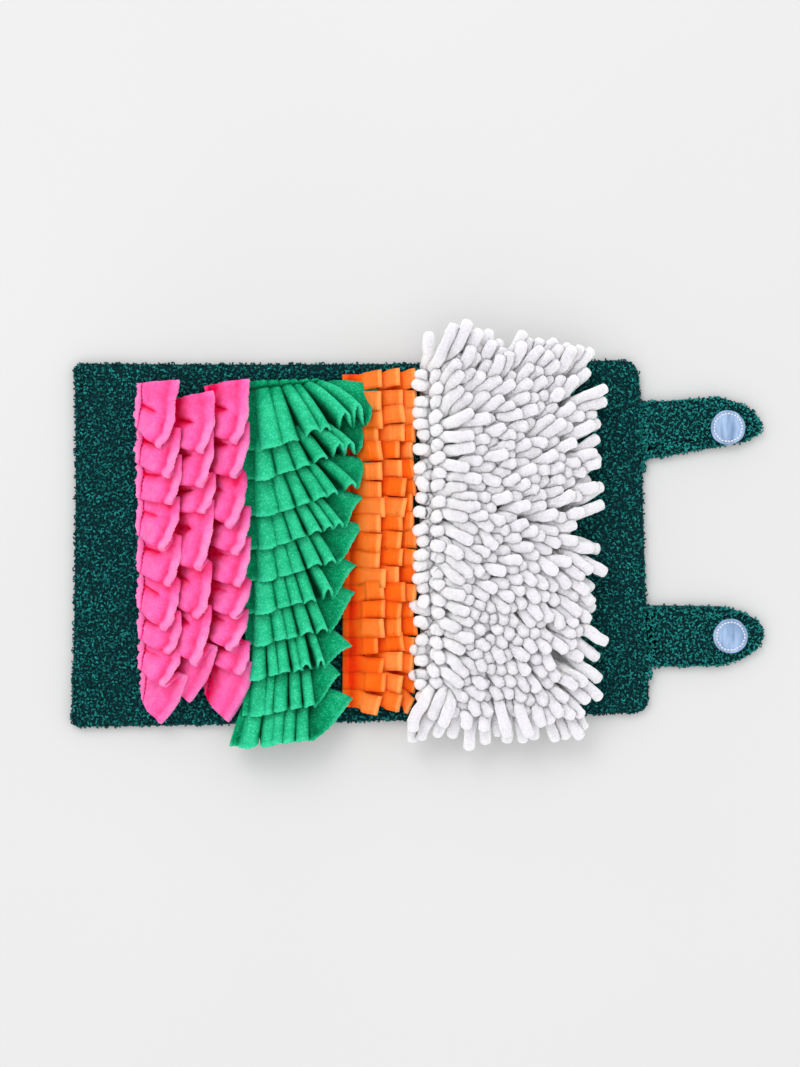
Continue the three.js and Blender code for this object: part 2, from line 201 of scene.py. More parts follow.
class Finish:
    """A material under construction: a Principled shader fed by patterns on object coordinates."""

    def __init__(self, name, roughness, gloss=0.25, sheen=0.0, sheen_tint=(1, 1, 1), sheen_roughness=0.5):
        self.material = bpy.data.materials.new(name)
        self.material.use_nodes = True
        self.nodes = self.material.node_tree.nodes
        self.links = self.material.node_tree.links
        self.shader = self.nodes["Principled BSDF"]
        looks = {
            "Roughness": roughness,
            "Specular IOR Level": gloss,
            "Sheen Weight": sheen,
            "Sheen Roughness": sheen_roughness,
            "Sheen Tint": sheen_tint,
        }
        self.feed(self.shader, looks)
        self.place = self.make("TexCoord").outputs["Object"]

    def feed(self, node, values):
        """Gives a node's inputs numbers, vectors, colours or other nodes' outputs."""
        for key, value in values.items():
            socket = node.inputs[key]
            if isinstance(value, (int, float)):
                socket.default_value = value
            elif isinstance(value, tuple):
                socket.default_value = (*value, 1)[: len(socket.default_value)]
            else:
                self.links.new(value, socket)

    def make(self, kind, values=None):
        node = self.nodes.new("ShaderNode" + kind)
        self.feed(node, values or {})
        return node

    def let_light_in(self, weight, reach, shares=(1, 1, 1)):
        """Light goes on under the surface for the reach, times each colour's share."""
        depth = {"Subsurface Weight": weight, "Subsurface Radius": shares, "Subsurface Scale": reach * MM}
        self.feed(self.shader, depth)

    def grain(self, size, detail=2.0, roughness=0.5, stretch=(1, 1, 1), distortion=0.0):
        """Noise whose lumps are about size millimetres across."""
        mapping = self.make("Mapping", {"Vector": self.place, "Scale": stretch})
        pattern = {
            "Vector": mapping.outputs["Vector"],
            "Scale": 1 / (size * MM),
            "Detail": detail,
            "Roughness": roughness,
            "Distortion": distortion,
        }
        return self.make("TexNoise", pattern).outputs["Fac"]

    def upward(self, vector):
        return self.make("SeparateXYZ", {0: vector}).outputs["Z"]

    def height(self):
        """How high over the floor a place is, in millimetres."""
        return self.reckon("DIVIDE", self.upward(self.place), MM)

    def facing_up(self):
        """How far the surface faces up, from -1 to 1."""
        return self.upward(self.make("TexCoord").outputs["Normal"])

    def attribute(self, name):
        found = self.make("Attribute")
        found.attribute_name = name
        return found.outputs["Fac"]

    def reckon(self, operation, a, b):
        node = self.make("Math", {0: a, 1: b})
        node.operation = operation
        return node.outputs[0]

    def mottled_painted_light(self, share, size, **kind):
        """The painted light and shade that the mesh carries, lighter and darker in patches by up to half
        the share.
        """
        mottle = self.reckon("MULTIPLY", self.grain(size, **kind), share)
        return self.reckon("SUBTRACT", self.reckon("ADD", self.attribute("tone_and_painted_light"), mottle), share / 2)

    def colours(self, factor, stops):
        """Colours over a factor, from (place, colour) stops."""
        ramp = self.make("ValToRGB", {"Fac": factor})
        edge = ramp.color_ramp.elements
        while len(edge) < len(stops):
            edge.new(0.5)
        for element, (place, colour) in zip(edge, stops):
            element.position = place
            element.color = (*colour, 1)
        return ramp.outputs["Color"]

    def blend(self, factor, a, b):
        node = self.make("Mix")
        node.data_type = "RGBA"
        self.feed(node, {0: factor, 6: a, 7: b})
        return node.outputs[2]

    def paint(self, colour):
        self.feed(self.shader, {"Base Color": colour})

    def bump(self, height, distance):
        """Adds a bump of that height in millimetres on top of those added before."""
        node = self.make("Bump", {"Strength": 1, "Distance": distance * MM, "Height": height})
        socket = self.shader.inputs["Normal"]
        if socket.is_linked:
            self.links.new(socket.links[0].from_socket, node.inputs["Normal"])
        self.links.new(node.outputs["Normal"], socket)


def boucle_finish():
    """Dark teal loop yarn, each loop a little lighter or darker, higher loops painted lighter and the bare
    cloth between them painted darkest as shade.
    """
    finish = Finish("boucle", 0.85, gloss=0.12)
    speckle = finish.reckon("MULTIPLY", finish.grain(0.8), 0.7)
    shade = finish.reckon("ADD", finish.attribute("shade"), speckle)
    # The bare cloth under the curls has no shade attribute and comes out near the darkest teal: painted
    # shade in the gaps between the curls.
    teals = [(0.3, (0.0, 0.01, 0.015)), (0.72, (0.002, 0.09, 0.09)), (1.0, (0.02, 0.3, 0.28))]
    finish.paint(finish.colours(shade, teals))
    finish.bump(finish.grain(0.35, detail=3), 0.25)
    return finish.material


def fleece_finish(name, deep, plain, pale, speck, speck_share, scatter):
    """Brushed fleece with a mottled nap and pale fibre ends, deep with painted shade in its hollows and
    pale with painted highlights on its crests and cut edges. A little light passes through it."""
    finish = Finish(name, 0.95, gloss=0.04, sheen=0.08, sheen_tint=pale)
    finish.let_light_in(0.55, 3, scatter)
    tone_and_painted_light = finish.mottled_painted_light(0.5, 5, detail=4, roughness=0.6)
    # deep is the colour of the painted shade, plain the fleece's own colour, pale that of the painted
    # highlights.
    body = finish.colours(tone_and_painted_light, [(0.0, deep), (0.5, plain), (1.0, pale)])
    fibres = finish.grain(1.1, detail=4, roughness=0.65, distortion=0.6)
    ends = finish.colours(fibres, [(0.5, (0, 0, 0)), (0.72, (speck_share,) * 3)])
    # The pale fibre ends show most where the painted light is paler.
    shown = finish.reckon("MULTIPLY", ends, finish.reckon("MULTIPLY", tone_and_painted_light, 1.7))
    finish.paint(finish.blend(shown, body, speck))
    finish.bump(fibres, 0.5)
    finish.bump(finish.grain(2.4), 0.3)
    return finish.material


def felt_finish():
    """Smooth pressed felt with a faint grain, with painted shade deeper in its creases and painted
    highlights at its fold ends.
    """
    finish = Finish("orange felt", 0.85, gloss=0.06, sheen=0.05, sheen_tint=(1, 0.6, 0.35))
    finish.let_light_in(0.45, 3, (1, 0.35, 0.15))
    tone_and_painted_light = finish.mottled_painted_light(0.3, 7, detail=3)
    # From the painted shade's deep orange through the felt's own orange to the painted highlights' pale
    # orange.
    oranges = [(0.0, (0.9, 0.025, 0.0)), (0.5, (0.96, 0.14, 0.006)), (1.0, (1.0, 0.34, 0.09))]
    fine = finish.grain(0.5, detail=3)
    fibres = finish.colours(fine, [(0.55, (0, 0, 0)), (0.8, (0.3,) * 3)])
    finish.paint(finish.blend(fibres, finish.colours(tone_and_painted_light, oranges), (1, 0.32, 0.1)))
    finish.bump(fine, 0.12)
    return finish.material


def chenille_finish():
    """White chenille: short dense fibres that stand out in faint ribs round each noodle. Its colour is
    painted greyer high up where it faces up and whiter deep down and on the sides, painted light that evens
    out the pile's shade, so that the pile's depth doesn't turn too dark."""
    finish = Finish("white chenille", 0.95, gloss=0.05, sheen=0.3, sheen_tint=(0.95, 0.94, 1.0))
    finish.let_light_in(1.0, 9)
    mottle = finish.reckon("MULTIPLY", finish.grain(9), 6)
    depth = finish.reckon("DIVIDE", finish.reckon("ADD", finish.height(), mottle), PILE_TOP)
    # Painted light: tops high in the pile are painted greyer, sides and depths whiter.
    painted_counter_shade = finish.reckon("MULTIPLY", depth, finish.facing_up())
    finish.paint(finish.colours(painted_counter_shade, [(0.3, (0.995, 0.98, 1.0)), (0.85, (0.71, 0.69, 0.74))]))
    turns = finish.reckon("MULTIPLY", finish.attribute("along"), 2 * math.pi / RIB)
    finish.bump(finish.reckon("SINE", turns, 0), 0.07)
    finish.bump(finish.grain(1.3, detail=3, roughness=0.6), 0.8)
    finish.bump(finish.grain(0.4), 0.2)
    return finish.material


def tape_finish():
    """Pale blue loop tape, its combed loops shown as streaks of painted gloss."""
    finish = Finish("loop tape", 0.5, sheen=0.3, sheen_tint=(0.8, 0.9, 1.0), sheen_roughness=0.3)
    streaks = finish.grain(3, detail=3, stretch=(1, 0.22, 1))
    # Painted gloss: darker and paler blue where the combed loops would catch the light.
    blues = [(0.3, (0.15, 0.25, 0.41)), (0.5, (0.24, 0.35, 0.54)), (0.68, (0.34, 0.47, 0.68))]
    finish.paint(finish.colours(streaks, blues))
    finish.bump(finish.grain(0.4, detail=3), 0.15)
    return finish.material


def thread_finish(name, colour):
    finish = Finish(name, 0.6)
    twist = finish.grain(0.4, detail=1)
    finish.paint(finish.colours(twist, [(0.3, tuple(0.7 * c for c in colour)), (0.7, colour)]))
    finish.bump(twist, 0.1)
    return finish.material


BOUCLE = boucle_finish()
PINK_FLEECE = fleece_finish(
    "pink fleece",
    deep=(0.98, 0.0, 0.09),
    plain=(0.98, 0.12, 0.4),
    pale=(1.0, 0.3, 0.58),
    speck=(1.0, 0.42, 0.7),
    speck_share=0.3,
    scatter=(1.0, 0.12, 0.35),
)
GREEN_FLEECE = fleece_finish(
    "green fleece",
    deep=(0.0, 0.045, 0.016),
    plain=(0.0, 0.31, 0.13),
    pale=(0.04, 0.62, 0.34),
    speck=(0.1, 0.85, 0.5),
    speck_share=0.6,
    scatter=(0.3, 0.6, 0.4),
)
ORANGE_FELT = felt_finish()
CHENILLE = chenille_finish()
LOOP_TAPE = tape_finish()
PINK_THREAD = thread_finish("pink thread", (0.28, 0.003, 0.07))
WHITE_THREAD = thread_finish("white thread", (0.85, 0.86, 0.95))


# ---- The boucle mat and its straps ----

PILE = 1.3  # the boucle's loops stand this high over the cloth under them
CURL_SPACING = 2.0
CURL_STRAY = 0.9
UNDER_CURLS = 0.8  # the cloth's rim lies this far inside the curls'
UNDER_DISC = 9.0  # curls nearer than this to a disc's middle are left out


def right_edge(y):
    """Where the mat's right-hand edge lies at that height."""
    return MAT_LENGTH / 2 + 0.5 - 0.03 * y


# Anticlockwise from the upper left, each with its rounding and how far the edge to the next bows in
MAT_CORNERS = [
    {"at": (-MAT_LENGTH / 2 + 1.5, MAT_WIDTH / 2 - 2.5), "round": 5, "bow": 1.2},
    {"at": (-MAT_LENGTH / 2 - 0.5, -MAT_WIDTH / 2 - 3.5), "round": 6, "bow": -0.8},
    {"at": (right_edge(-MAT_WIDTH / 2 + 5), -MAT_WIDTH / 2 + 5), "round": 10, "bow": 0.0},
    {"at": (right_edge(MAT_WIDTH / 2 - 0.5), MAT_WIDTH / 2 - 0.5), "round": 12, "bow": 1.4},
]


def mat_outline():
    """The mat's outline, each edge bowed in or out and each corner rounded."""
    run = []
    corners = [np.array(c["at"], float) for c in MAT_CORNERS]
    for i, corner in enumerate(MAT_CORNERS):
        here, there, after = corners[i], corners[(i + 1) % 4], corners[(i + 2) % 4]
        next_round = MAT_CORNERS[(i + 1) % 4]["round"]
        edge, turn = there - here, after - there
        leave = here + unit(edge) * corner["round"]
        arrive = there - unit(edge) * next_round
        outward = unit(np.array([edge[1], -edge[0]]))
        pull = (here + there) / 2 - 2 * corner["bow"] * outward
        run.append(quad_curve(leave, pull, arrive, 60))
        run.append(quad_curve(arrive, there, there + unit(turn) * next_round, 8))
    return np.concatenate(run)


# A strap's edges, each with its height at the root, past the root, at the belly and at the tip
STRAPS = {
    "upper": {
        "top": (79.5, 81, 83.5, 65),
        "bottom": (40, 47, 53.5, 65),
        "tip": 235,
        "dot": (214, 65),
    },
    "lower": {
        "top": (-38.5, -37, -37.5, -54),
        "bottom": (-80, -74, -73.5, -54),
        "tip": 236,
        "dot": (215.5, -55.5),
    },
}


def strap_outline(strap, filleted):
    """A strap's outline from its root at the mat round its blunt tip, with or without root fillets."""
    out = strap["tip"] - right_edge(0)

    def edge(heights):
        root_x = right_edge(heights[1]) - 1.0
        along = [root_x, right_edge(0) + 0.12 * out, right_edge(0) + 0.62 * out, strap["tip"]]
        root_y = heights[0] if filleted else heights[1]
        at = [np.array([x, y], float) for x, y in zip(along, (root_y, *heights[1:]))]
        shoulder = np.array([strap["tip"] - 1.5, mix(heights[3], heights[2], 0.72)])
        return [
            quad_curve(at[0], np.array([root_x + 2, heights[1]]), at[1], 10),
            quad_curve(at[1], (at[1] + at[2]) / 2, at[2], 20),
            quad_curve(at[2], shoulder, at[3], 22),
        ]

    low = edge(strap["bottom"])
    high = [part[::-1] for part in edge(strap["top"])[::-1]]
    point = np.array([[strap["tip"], strap["top"][3]]], float)
    root = quad_curve(high[-1][-1], (high[-1][-1] + low[0][0]) / 2, low[0][0], 8)[1:]
    return np.concatenate(low + [point] + high + [root])


def inset(outline, by):
    """An anticlockwise or clockwise outline moved inwards."""
    before, after = np.roll(outline, 1, axis=0), np.roll(outline, -1, axis=0)
    way = unit(after - before)
    inward = np.stack([-way[:, 1], way[:, 0]], axis=1)
    area = np.sum(outline[:, 0] * after[:, 1] - outline[:, 1] * after[:, 0])
    return outline + inward * by * (1 if area > 0 else -1)


def soft_slab(outline, thick):
    """A turned cloth slab: its rim bulges between a flat underside and a top with rolled edges."""
    bm = bmesh.new()
    ring = [bm.verts.new((*p, FLOOR_LIFT)) for p in inset(outline, 1.6)]
    loop = [bm.edges.new((a, b)) for a, b in zip(ring, ring[1:] + ring[:1])]
    bmesh.ops.contextual_create(bm, geom=loop)
    rolled_edge = [(0.4, thick - 1.3), (1.8, thick - 0.2), (4.5, thick)]
    for away, height in [(0.3, 1.2), (0.0, thick / 2), *rolled_edge]:
        made = bmesh.ops.extrude_edge_only(bm, edges=loop)["geom"]
        loop = [e for e in made if isinstance(e, bmesh.types.BMEdge)]
        moved = [v for v in made if isinstance(v, bmesh.types.BMVert)]
        places = inset(outline, away)
        for v in moved:
            near = np.argmin(np.sum((outline - np.array(v.co[:2])) ** 2, axis=1))
            v.co = (*places[near], height)
    bmesh.ops.contextual_create(bm, geom=loop)
    bmesh.ops.triangulate(bm, faces=[f for f in bm.faces if len(f.verts) > 4])
    bmesh.ops.recalc_face_normals(bm, faces=bm.faces)
    return bm


def inside(points, outline):
    """Which points lie inside the outline."""
    x, y = points[:, 0:1], points[:, 1:2]
    a, b = outline, np.roll(outline, -1, axis=0)
    crosses = (a[:, 1] > y) != (b[:, 1] > y)
    rise = np.where(b[:, 1] == a[:, 1], 1e-9, b[:, 1] - a[:, 1])
    at = a[:, 0] + (y - a[:, 1]) / rise * (b[:, 0] - a[:, 0])
    return np.sum(crosses & (x < at), axis=1) % 2 == 1


# The four loops of yarn: (loop's radius, yarn's radius, degrees round, climb)
CURLS = [(0.55, 0.45, 290, 0.5), (0.7, 0.42, 250, 0.8), (0.45, 0.5, 320, 0.9), (0.8, 0.4, 220, 0.3)]
CURL_STEPS = 4


def curl_shapes():
    """Four loops of boucle yarn, wound by spinning a small triangle of yarn."""
    shapes = bpy.data.collections.new("curl shapes")
    for i, (radius, yarn, sweep, climb) in enumerate(CURLS):
        bm = bmesh.new()
        ring = bmesh.ops.create_circle(bm, segments=3, radius=yarn)["verts"]
        bmesh.ops.rotate(bm, verts=ring, cent=(0, 0, 0), matrix=Matrix.Rotation(math.pi / 2, 3, "X"))
        bmesh.ops.translate(bm, verts=ring, vec=(radius, 0, -climb / 2))
        bmesh.ops.spin(
            bm,
            geom=bm.edges[:],
            cent=(0, 0, 0),
            axis=(0, 0, 1),
            dvec=(0, 0, climb / CURL_STEPS),
            angle=math.radians(sweep),
            steps=CURL_STEPS,
        )
        bmesh.ops.remove_doubles(bm, verts=bm.verts, dist=1e-4)
        bmesh.ops.holes_fill(bm, edges=bm.edges, sides=4)
        bmesh.ops.recalc_face_normals(bm, faces=bm.faces)
        name = f"curl {i}"
        shapes.objects.link(bpy.data.objects.new(name, metre_mesh(bm, name)))
    return shapes


def scatter_tree(shapes):
    """Geometry nodes that put one of the shapes at each point, turned and sized as the point says."""
    tree = bpy.data.node_groups.new("scatter", "GeometryNodeTree")
    tree.interface.new_socket("Geometry", in_out="INPUT", socket_type="NodeSocketGeometry")
    tree.interface.new_socket("Geometry", in_out="OUTPUT", socket_type="NodeSocketGeometry")
    make, join = tree.nodes.new, tree.links.new
    start, end = make("NodeGroupInput"), make("NodeGroupOutput")
    info = make("GeometryNodeCollectionInfo")
    info.inputs["Collection"].default_value = shapes
    info.inputs["Separate Children"].default_value = True
    info.inputs["Reset Children"].default_value = True
    put = make("GeometryNodeInstanceOnPoints")
    put.inputs["Pick Instance"].default_value = True
    euler = make("FunctionNodeEulerToRotation")
    wanted = {
        "turn": ("FLOAT_VECTOR", euler.inputs[0]),
        "size": ("FLOAT", put.inputs["Scale"]),
        "kind": ("INT", put.inputs["Instance Index"]),
    }
    for name, (kind, socket) in wanted.items():
        read = make("GeometryNodeInputNamedAttribute")
        read.data_type = kind
        read.inputs["Name"].default_value = name
        join(read.outputs["Attribute"], socket)
    join(euler.outputs[0], put.inputs["Rotation"])
    real = make("GeometryNodeRealizeInstances")
    join(start.outputs[0], put.inputs["Points"])
    join(info.outputs[0], put.inputs["Instance"])
    join(put.outputs[0], real.inputs[0])
    join(real.outputs[0], end.inputs[0])
    return tree


SCATTER = scatter_tree(curl_shapes())


def curled(name, places, shade, seed):
    """A pile of boucle curls at the places, each turned its own way."""
    count = len(places)
    rng = np.random.default_rng(seed)
    # Higher curls are painted lighter and lower ones darker: painted light on the pile's top, painted shade
    # down in it.
    high = (places[:, 2] - places[:, 2].mean()) / places[:, 2].std()
    bm = bmesh.new()
    for p in places:
        bm.verts.new(p)
    mesh = metre_mesh(bm, name)
    values = {
        "turn": ("FLOAT_VECTOR", "vector", rng.uniform(0, 2 * math.pi, (count, 3)).ravel()),
        "size": ("FLOAT", "value", rng.uniform(1.0, 1.5, count)),
        "kind": ("INT", "value", rng.integers(0, len(CURLS), count)),
        "shade": ("FLOAT", "value", np.clip(shade + 0.1 * high + rng.normal(0, 0.11, count), 0, 1)),
    }
    for what, (kind, field, data) in values.items():
        mesh.attributes.new(what, kind, "POINT").data.foreach_set(field, data)
    points = in_scene(name + " points", mesh)
    points.modifiers.new("Scatter", "NODES").node_group = SCATTER
    ready = points.evaluated_get(bpy.context.evaluated_depsgraph_get())
    pile = bpy.data.meshes.new_from_object(ready)
    pile.name = name
    bpy.data.objects.remove(points)
    return finished_mesh(pile, name, BOUCLE)


RIM_ROWS = [(1.1, 2.3), (0.5, 3.4), (0.7, 4.8)]  # rows of curls round a rim: (inset, height)


def curl_places(outline, thick, seed, covered=()):
    """Where curls stand on a slab: over its top, where nothing lies on it, and round its rim."""
    rng = np.random.default_rng(seed)
    lowest, highest = outline.min(axis=0), outline.max(axis=0)
    xs, ys = np.meshgrid(*(np.arange(a, b, CURL_SPACING) for a, b in zip(lowest, highest)))
    top = np.stack([xs.ravel(), ys.ravel()], axis=1)
    top = top + rng.uniform(-CURL_STRAY, CURL_STRAY, top.shape)
    top = top[inside(top, inset(outline, 1.6))]
    for left, bottom, right, upper in covered:
        under = (top[:, 0] > left) & (top[:, 0] < right) & (top[:, 1] > bottom) & (top[:, 1] < upper)
        top = top[~under]
    heights = thick - PILE + rng.uniform(-0.3, 0.9, len(top))
    places = [np.column_stack([top, heights])]
    step = np.linalg.norm(np.roll(outline, -1, axis=0) - outline, axis=1)
    far = summed(step)
    for away, height in RIM_ROWS:
        run = inset(outline, away)
        closed = np.vstack([run, run[:1]])
        at = np.arange(0, far[-1], CURL_SPACING) + rng.uniform(-0.7, 0.7)
        rim = rows_at(at, far, closed)
        rim = rim + rng.uniform(-CURL_STRAY, CURL_STRAY, rim.shape)
        places.append(np.column_stack([rim, height + rng.uniform(-0.3, 0.6, len(rim))]))
    return np.concatenate(places)


def in_parts(places, most=5800):
    """The places cut into shares from left to right, small enough for one piece each."""
    order = places[np.argsort(places[:, 0], kind="stable")]
    return np.array_split(order, math.ceil(len(order) / most))


# What the sewn-on strips and the panel hide of the mat: (left, bottom, right, top)
COVERED = [(-120, -76, -74, 78), (-60, -96, -30, 80), (2, -80, 22, 88), (45, -88, 118, 92)]


def build_mat():
    outline = inset(mat_outline(), UNDER_CURLS)
    cloth = finished(soft_slab(outline, MAT_THICK - PILE), "mat_cloth", BOUCLE)
    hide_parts("mat")
    for i, share in enumerate(in_parts(curl_places(outline, MAT_THICK, 3, COVERED))):
        curled(f"mat_boucle_{i + 1}", share, 0.42, 100 + i)


# A disc's rim, rolled inwards in steps: (further in, further up)
DISC_STEPS = [(0.5, 0.35), (0.8, 0.1), (0.35, -0.3), (0.4, 0.22), (2.2, 0.1), (2.4, 0.05)]
DISC_STITCHES = 27
DISC_SIDES = 9  # the ring of stitches is sewn in straight runs


def dot(name, strap):
    """A loop-tape disc with a rolled rim and a ring of stitches."""
    low, high = node_box("dot_" + name)
    centre = (low + high) / 2
    radius = (high[0] - low[0]) / 2
    bm = bmesh.new()
    bmesh.ops.create_circle(bm, cap_ends=True, segments=48, radius=radius)
    face = bm.faces[:]
    for width, depth in DISC_STEPS:
        bmesh.ops.inset_individual(bm, faces=face, thickness=width, depth=depth)
    rim = [e for e in bm.edges if e.is_boundary]
    side = bmesh.ops.extrude_edge_only(bm, edges=rim)["geom"]
    low_ring = [v for v in side if isinstance(v, bmesh.types.BMVert)]
    bmesh.ops.translate(bm, verts=low_ring, vec=(0, 0, -0.9))
    bmesh.ops.holes_fill(bm, edges=[e for e in bm.edges if e.is_boundary], sides=0)
    for v in bm.verts:
        turn = math.atan2(v.co.y, v.co.x)
        wobble = 1 + 0.012 * math.sin(3 * turn + strap["tip"]) + 0.008 * math.sin(7 * turn)
        v.co.x *= wobble
        v.co.y *= wobble
        v.co.z += 0.12 * math.sin(2 * turn + strap["tip"]) * v.co.xy.length / radius
    bmesh.ops.recalc_face_normals(bm, faces=bm.faces)
    bmesh.ops.translate(bm, verts=bm.verts, vec=(centre[0], centre[1], low[2] + 1.1))
    disc = finished(bm, f"dot_{name}_tape", LOOP_TAPE)
    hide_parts("dot_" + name)
    half_side = math.pi / DISC_SIDES
    path = []
    for k in range(DISC_STITCHES):
        turn = 2 * math.pi * k / DISC_STITCHES
        straight = math.cos(half_side) / math.cos(turn % (2 * half_side) - half_side)
        r = (radius - 1.75) * (straight * 0.5 + 0.5) * uneven(k, strap["tip"], 0.02)
        path.append((centre[0] + r * math.cos(turn), centre[1] + r * math.sin(turn), low[2] + 1.5))
    stitches(f"dot_{name}_stitches", [path + path[:1]], 0.5, WHITE_THREAD, 0.85)


def stitches(name, seams, thread, material, share):
    """A stitch over its share of each step of the seams, a thread bead sunk at both ends."""
    bm = bmesh.new()
    for seam in seams:
        for a, b in zip(seam, seam[1:]):
            a, b = Vector(a), Vector(b)
            way = b - a
            bead = bmesh.new()
            bmesh.ops.create_uvsphere(bead, u_segments=6, v_segments=4, radius=thread)
            bmesh.ops.scale(bead, verts=bead.verts, vec=(1, 1, share * way.length / 2 / thread))
            turn = Vector((0, 0, 1)).rotation_difference(way.normalized()).to_matrix()
            bmesh.ops.rotate(bead, verts=bead.verts, cent=(0, 0, 0), matrix=turn)
            bmesh.ops.translate(bead, verts=bead.verts, vec=(a + b) / 2)
            add(bm, bead)
    return finished(bm, name, material)


def joining_curls(strap, seed):
    """Where curls fill the join between a strap's root and the mat."""
    rng = np.random.default_rng(50 + seed)
    y = np.repeat(np.arange(strap["bottom"][1] + 1, strap["top"][1] - 1, CURL_SPACING), 4)
    x = right_edge(y) + np.tile([-3.0, -1.2, 0.6, 2.4], len(y) // 4) + rng.uniform(-0.8, 0.8, len(y))
    return np.column_stack([x, y + rng.uniform(-0.8, 0.8, len(y)), rng.uniform(4.2, 5.2, len(y))])


def build_strap(name, strap, seed):
    slab = soft_slab(inset(strap_outline(strap, False), UNDER_CURLS), STRAP_THICK - PILE)
    cloth = finished(slab, f"strap_{name}_cloth", BOUCLE)
    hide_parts("strap_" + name)
    places = curl_places(inset(strap_outline(strap, True), UNDER_CURLS), STRAP_THICK, seed)
    x, y = strap["dot"]
    places = places[np.hypot(places[:, 0] - x, places[:, 1] - y) > UNDER_DISC]
    places = np.concatenate([places, joining_curls(strap, seed)])
    pile = curled(f"strap_{name}_boucle", places, 0.5, seed)
    dot(name, strap)


build_mat()
for seed, (name, strap) in enumerate(STRAPS.items()):
    build_strap(name, strap, 7 + seed)


# ---- Pleated fleece frills ----

LAYER = 1.45  # from one pressed layer of a pleat to the next
SEAM_Z = SEWN_ON + FLEECE / 2
IN_PILE = SEWN_ON - 0.6  # a frill's cloth sinks no deeper than this into the mat's curls
# A pleat in the order of the cloth. Each corner says where the sewn edge lies, in pitches, and in which
# pressed layer, where the free edge lies, how high it is lifted, how far it is drawn back, how deep a
# crease runs out from the seam, and how deep in a hollow it lies, which sets its painted shade.
CREASED_PLEAT = [
    (-0.3, 0, -0.06, -0.6, 0.14, 0, 1),
    (-0.06, 0, 0.18, 0.6, 0.12, 0, 0.5),
    (0.14, 0, 0.46, 2.4, 0.1, 0, 0.1),
    (0.2, 1, 0.52, 2.8, 0.09, 0.25, 0),
    (0.28, 1, 0.6, 3.2, 0.09, 1, 0),
    (0.36, 1, 0.68, 4.6, 0.08, 0.25, 0),
    (0.54, 2, 0.88, 6.6, 0.1, 0, 0),
    (0.74, 2, 1.08, 7.8, 0.1, 0, 0),
    (0.92, 2, 1.28, 8.8, 0.2, 0, 0),
    (0.95, 1, 1.35, 4.6, 0.24, 0, 0.5),
    (0.7, 1, 1.1, 0.8, 0.2, 0, 1),
]
ROUND_PLEAT = [
    (-0.1, 0, 0.02, -2.6, 0.16, 0, 1),
    (0.14, 0, 0.02, 1.6, 0.08, 0, 0.6),
    (0.36, 1, 0.2, 5.4, 0.02, 0, 0.1),
    (0.62, 2, 0.56, 7.4, 0.0, 0, 0),
    (0.96, 2, 0.94, 6.2, 0.02, 0, 0),
    (1.1, 1, 1.14, 2.6, 0.08, 0, 0.4),
    (0.92, 1, 1.06, -2.4, 0.16, 0, 1),
]
# The free edge of a pleat that stands up in an open wave: (along, lift)
OPEN_WAVE = [(0.16, -7.6), (0.27, -1.0), (0.3, 5.2), (0.53, 8.0), (0.76, 5.2), (0.79, -1.0), (0.9, -7.6)]
# The loose end past the last pleat: (share of its sewn edge, lift, share of its turn towards the corner)
LOOSE_END = [(-0.08, -0.6, 0.0), (0.26, 0.8, 0.24), (0.56, 2.0, 0.5), (0.82, 2.4, 0.78), (1.0, 1.2, 1.0)]
# How the pink and the green frills are made. Lengths are in millimetres and angles in degrees.
MAKE = {
    "material": (PINK_FLEECE, GREEN_FLEECE),
    "across": ((1.0, 0.0, 0.0), (0.0, -1.0, 0.0)),  # the way from the seam to the free edge
    "pleat": (CREASED_PLEAT, ROUND_PLEAT),
    "flap": (4.5, 3.5),  # cloth before the first pleat
    "heading": (4.4, 4.5),  # cloth behind the stitches
    "thick": (1.6, 1.3),
    "lean": (-25, 8),  # of the pleats' lift, away from upright
    "fan": (1, 0.85),  # under 1, the pleats turn early along the seam
    "swoop": (0.95, 1),  # under 1, the cloth runs sideways early on its way out
    "stray": (7, 3),  # from the turn, pleat by pleat
    "pointing": (0.24, 0),  # how unlike the pleats are in how far they point
    "unlike": (0.4, 0.22),  # how unlike they are in height
    "first_drawn": (0.15, 0.03),  # how far the cut start is drawn back
    "pointed": (0.0, 0.12),  # how far the loose end is drawn back at its middle
    "arch": (0.42, 0.45),  # the share of the slack that arches up
    "crease": (3.8, 0),  # depth of the creases
    "roll": (2.6, 0),  # how far the free edge rolls
    "freed_by": (0.42, 0.3),  # the share of the width in which the cloth leaves the mat
    "fold_round": (0.42, 0.4),  # the share of a fold's sides that is rounded
    "crumple": (1.6, 0.9),
    "tooth": (1.5, 2.0),  # length of the teeth that the free edge is cut in
    "tooth_depth": (0.45, 0.55),
    "torn": (3.0, 1.2),  # how ragged the heading is
    # How much painted shade and painted highlight the cloth carries in places
    "hollow_painted_shade": (0.5, 0.65),
    "end_painted_shade": (0, 0.5),
    "edge_painted_highlight": (0.3, 0.5),
    "heading_painted_highlight": (0.25, 0),
    "crest_painted_highlight": (0.08, 0.28),
    # The grid: stations past the heading, and the spacing along the cloth
    "stations": (16, 13),
    "spacing": (0.8, 0.6),
}
PINK_MAKE, GREEN_MAKE = ({what: values[kind] for what, values in MAKE.items()} for kind in (0, 1))


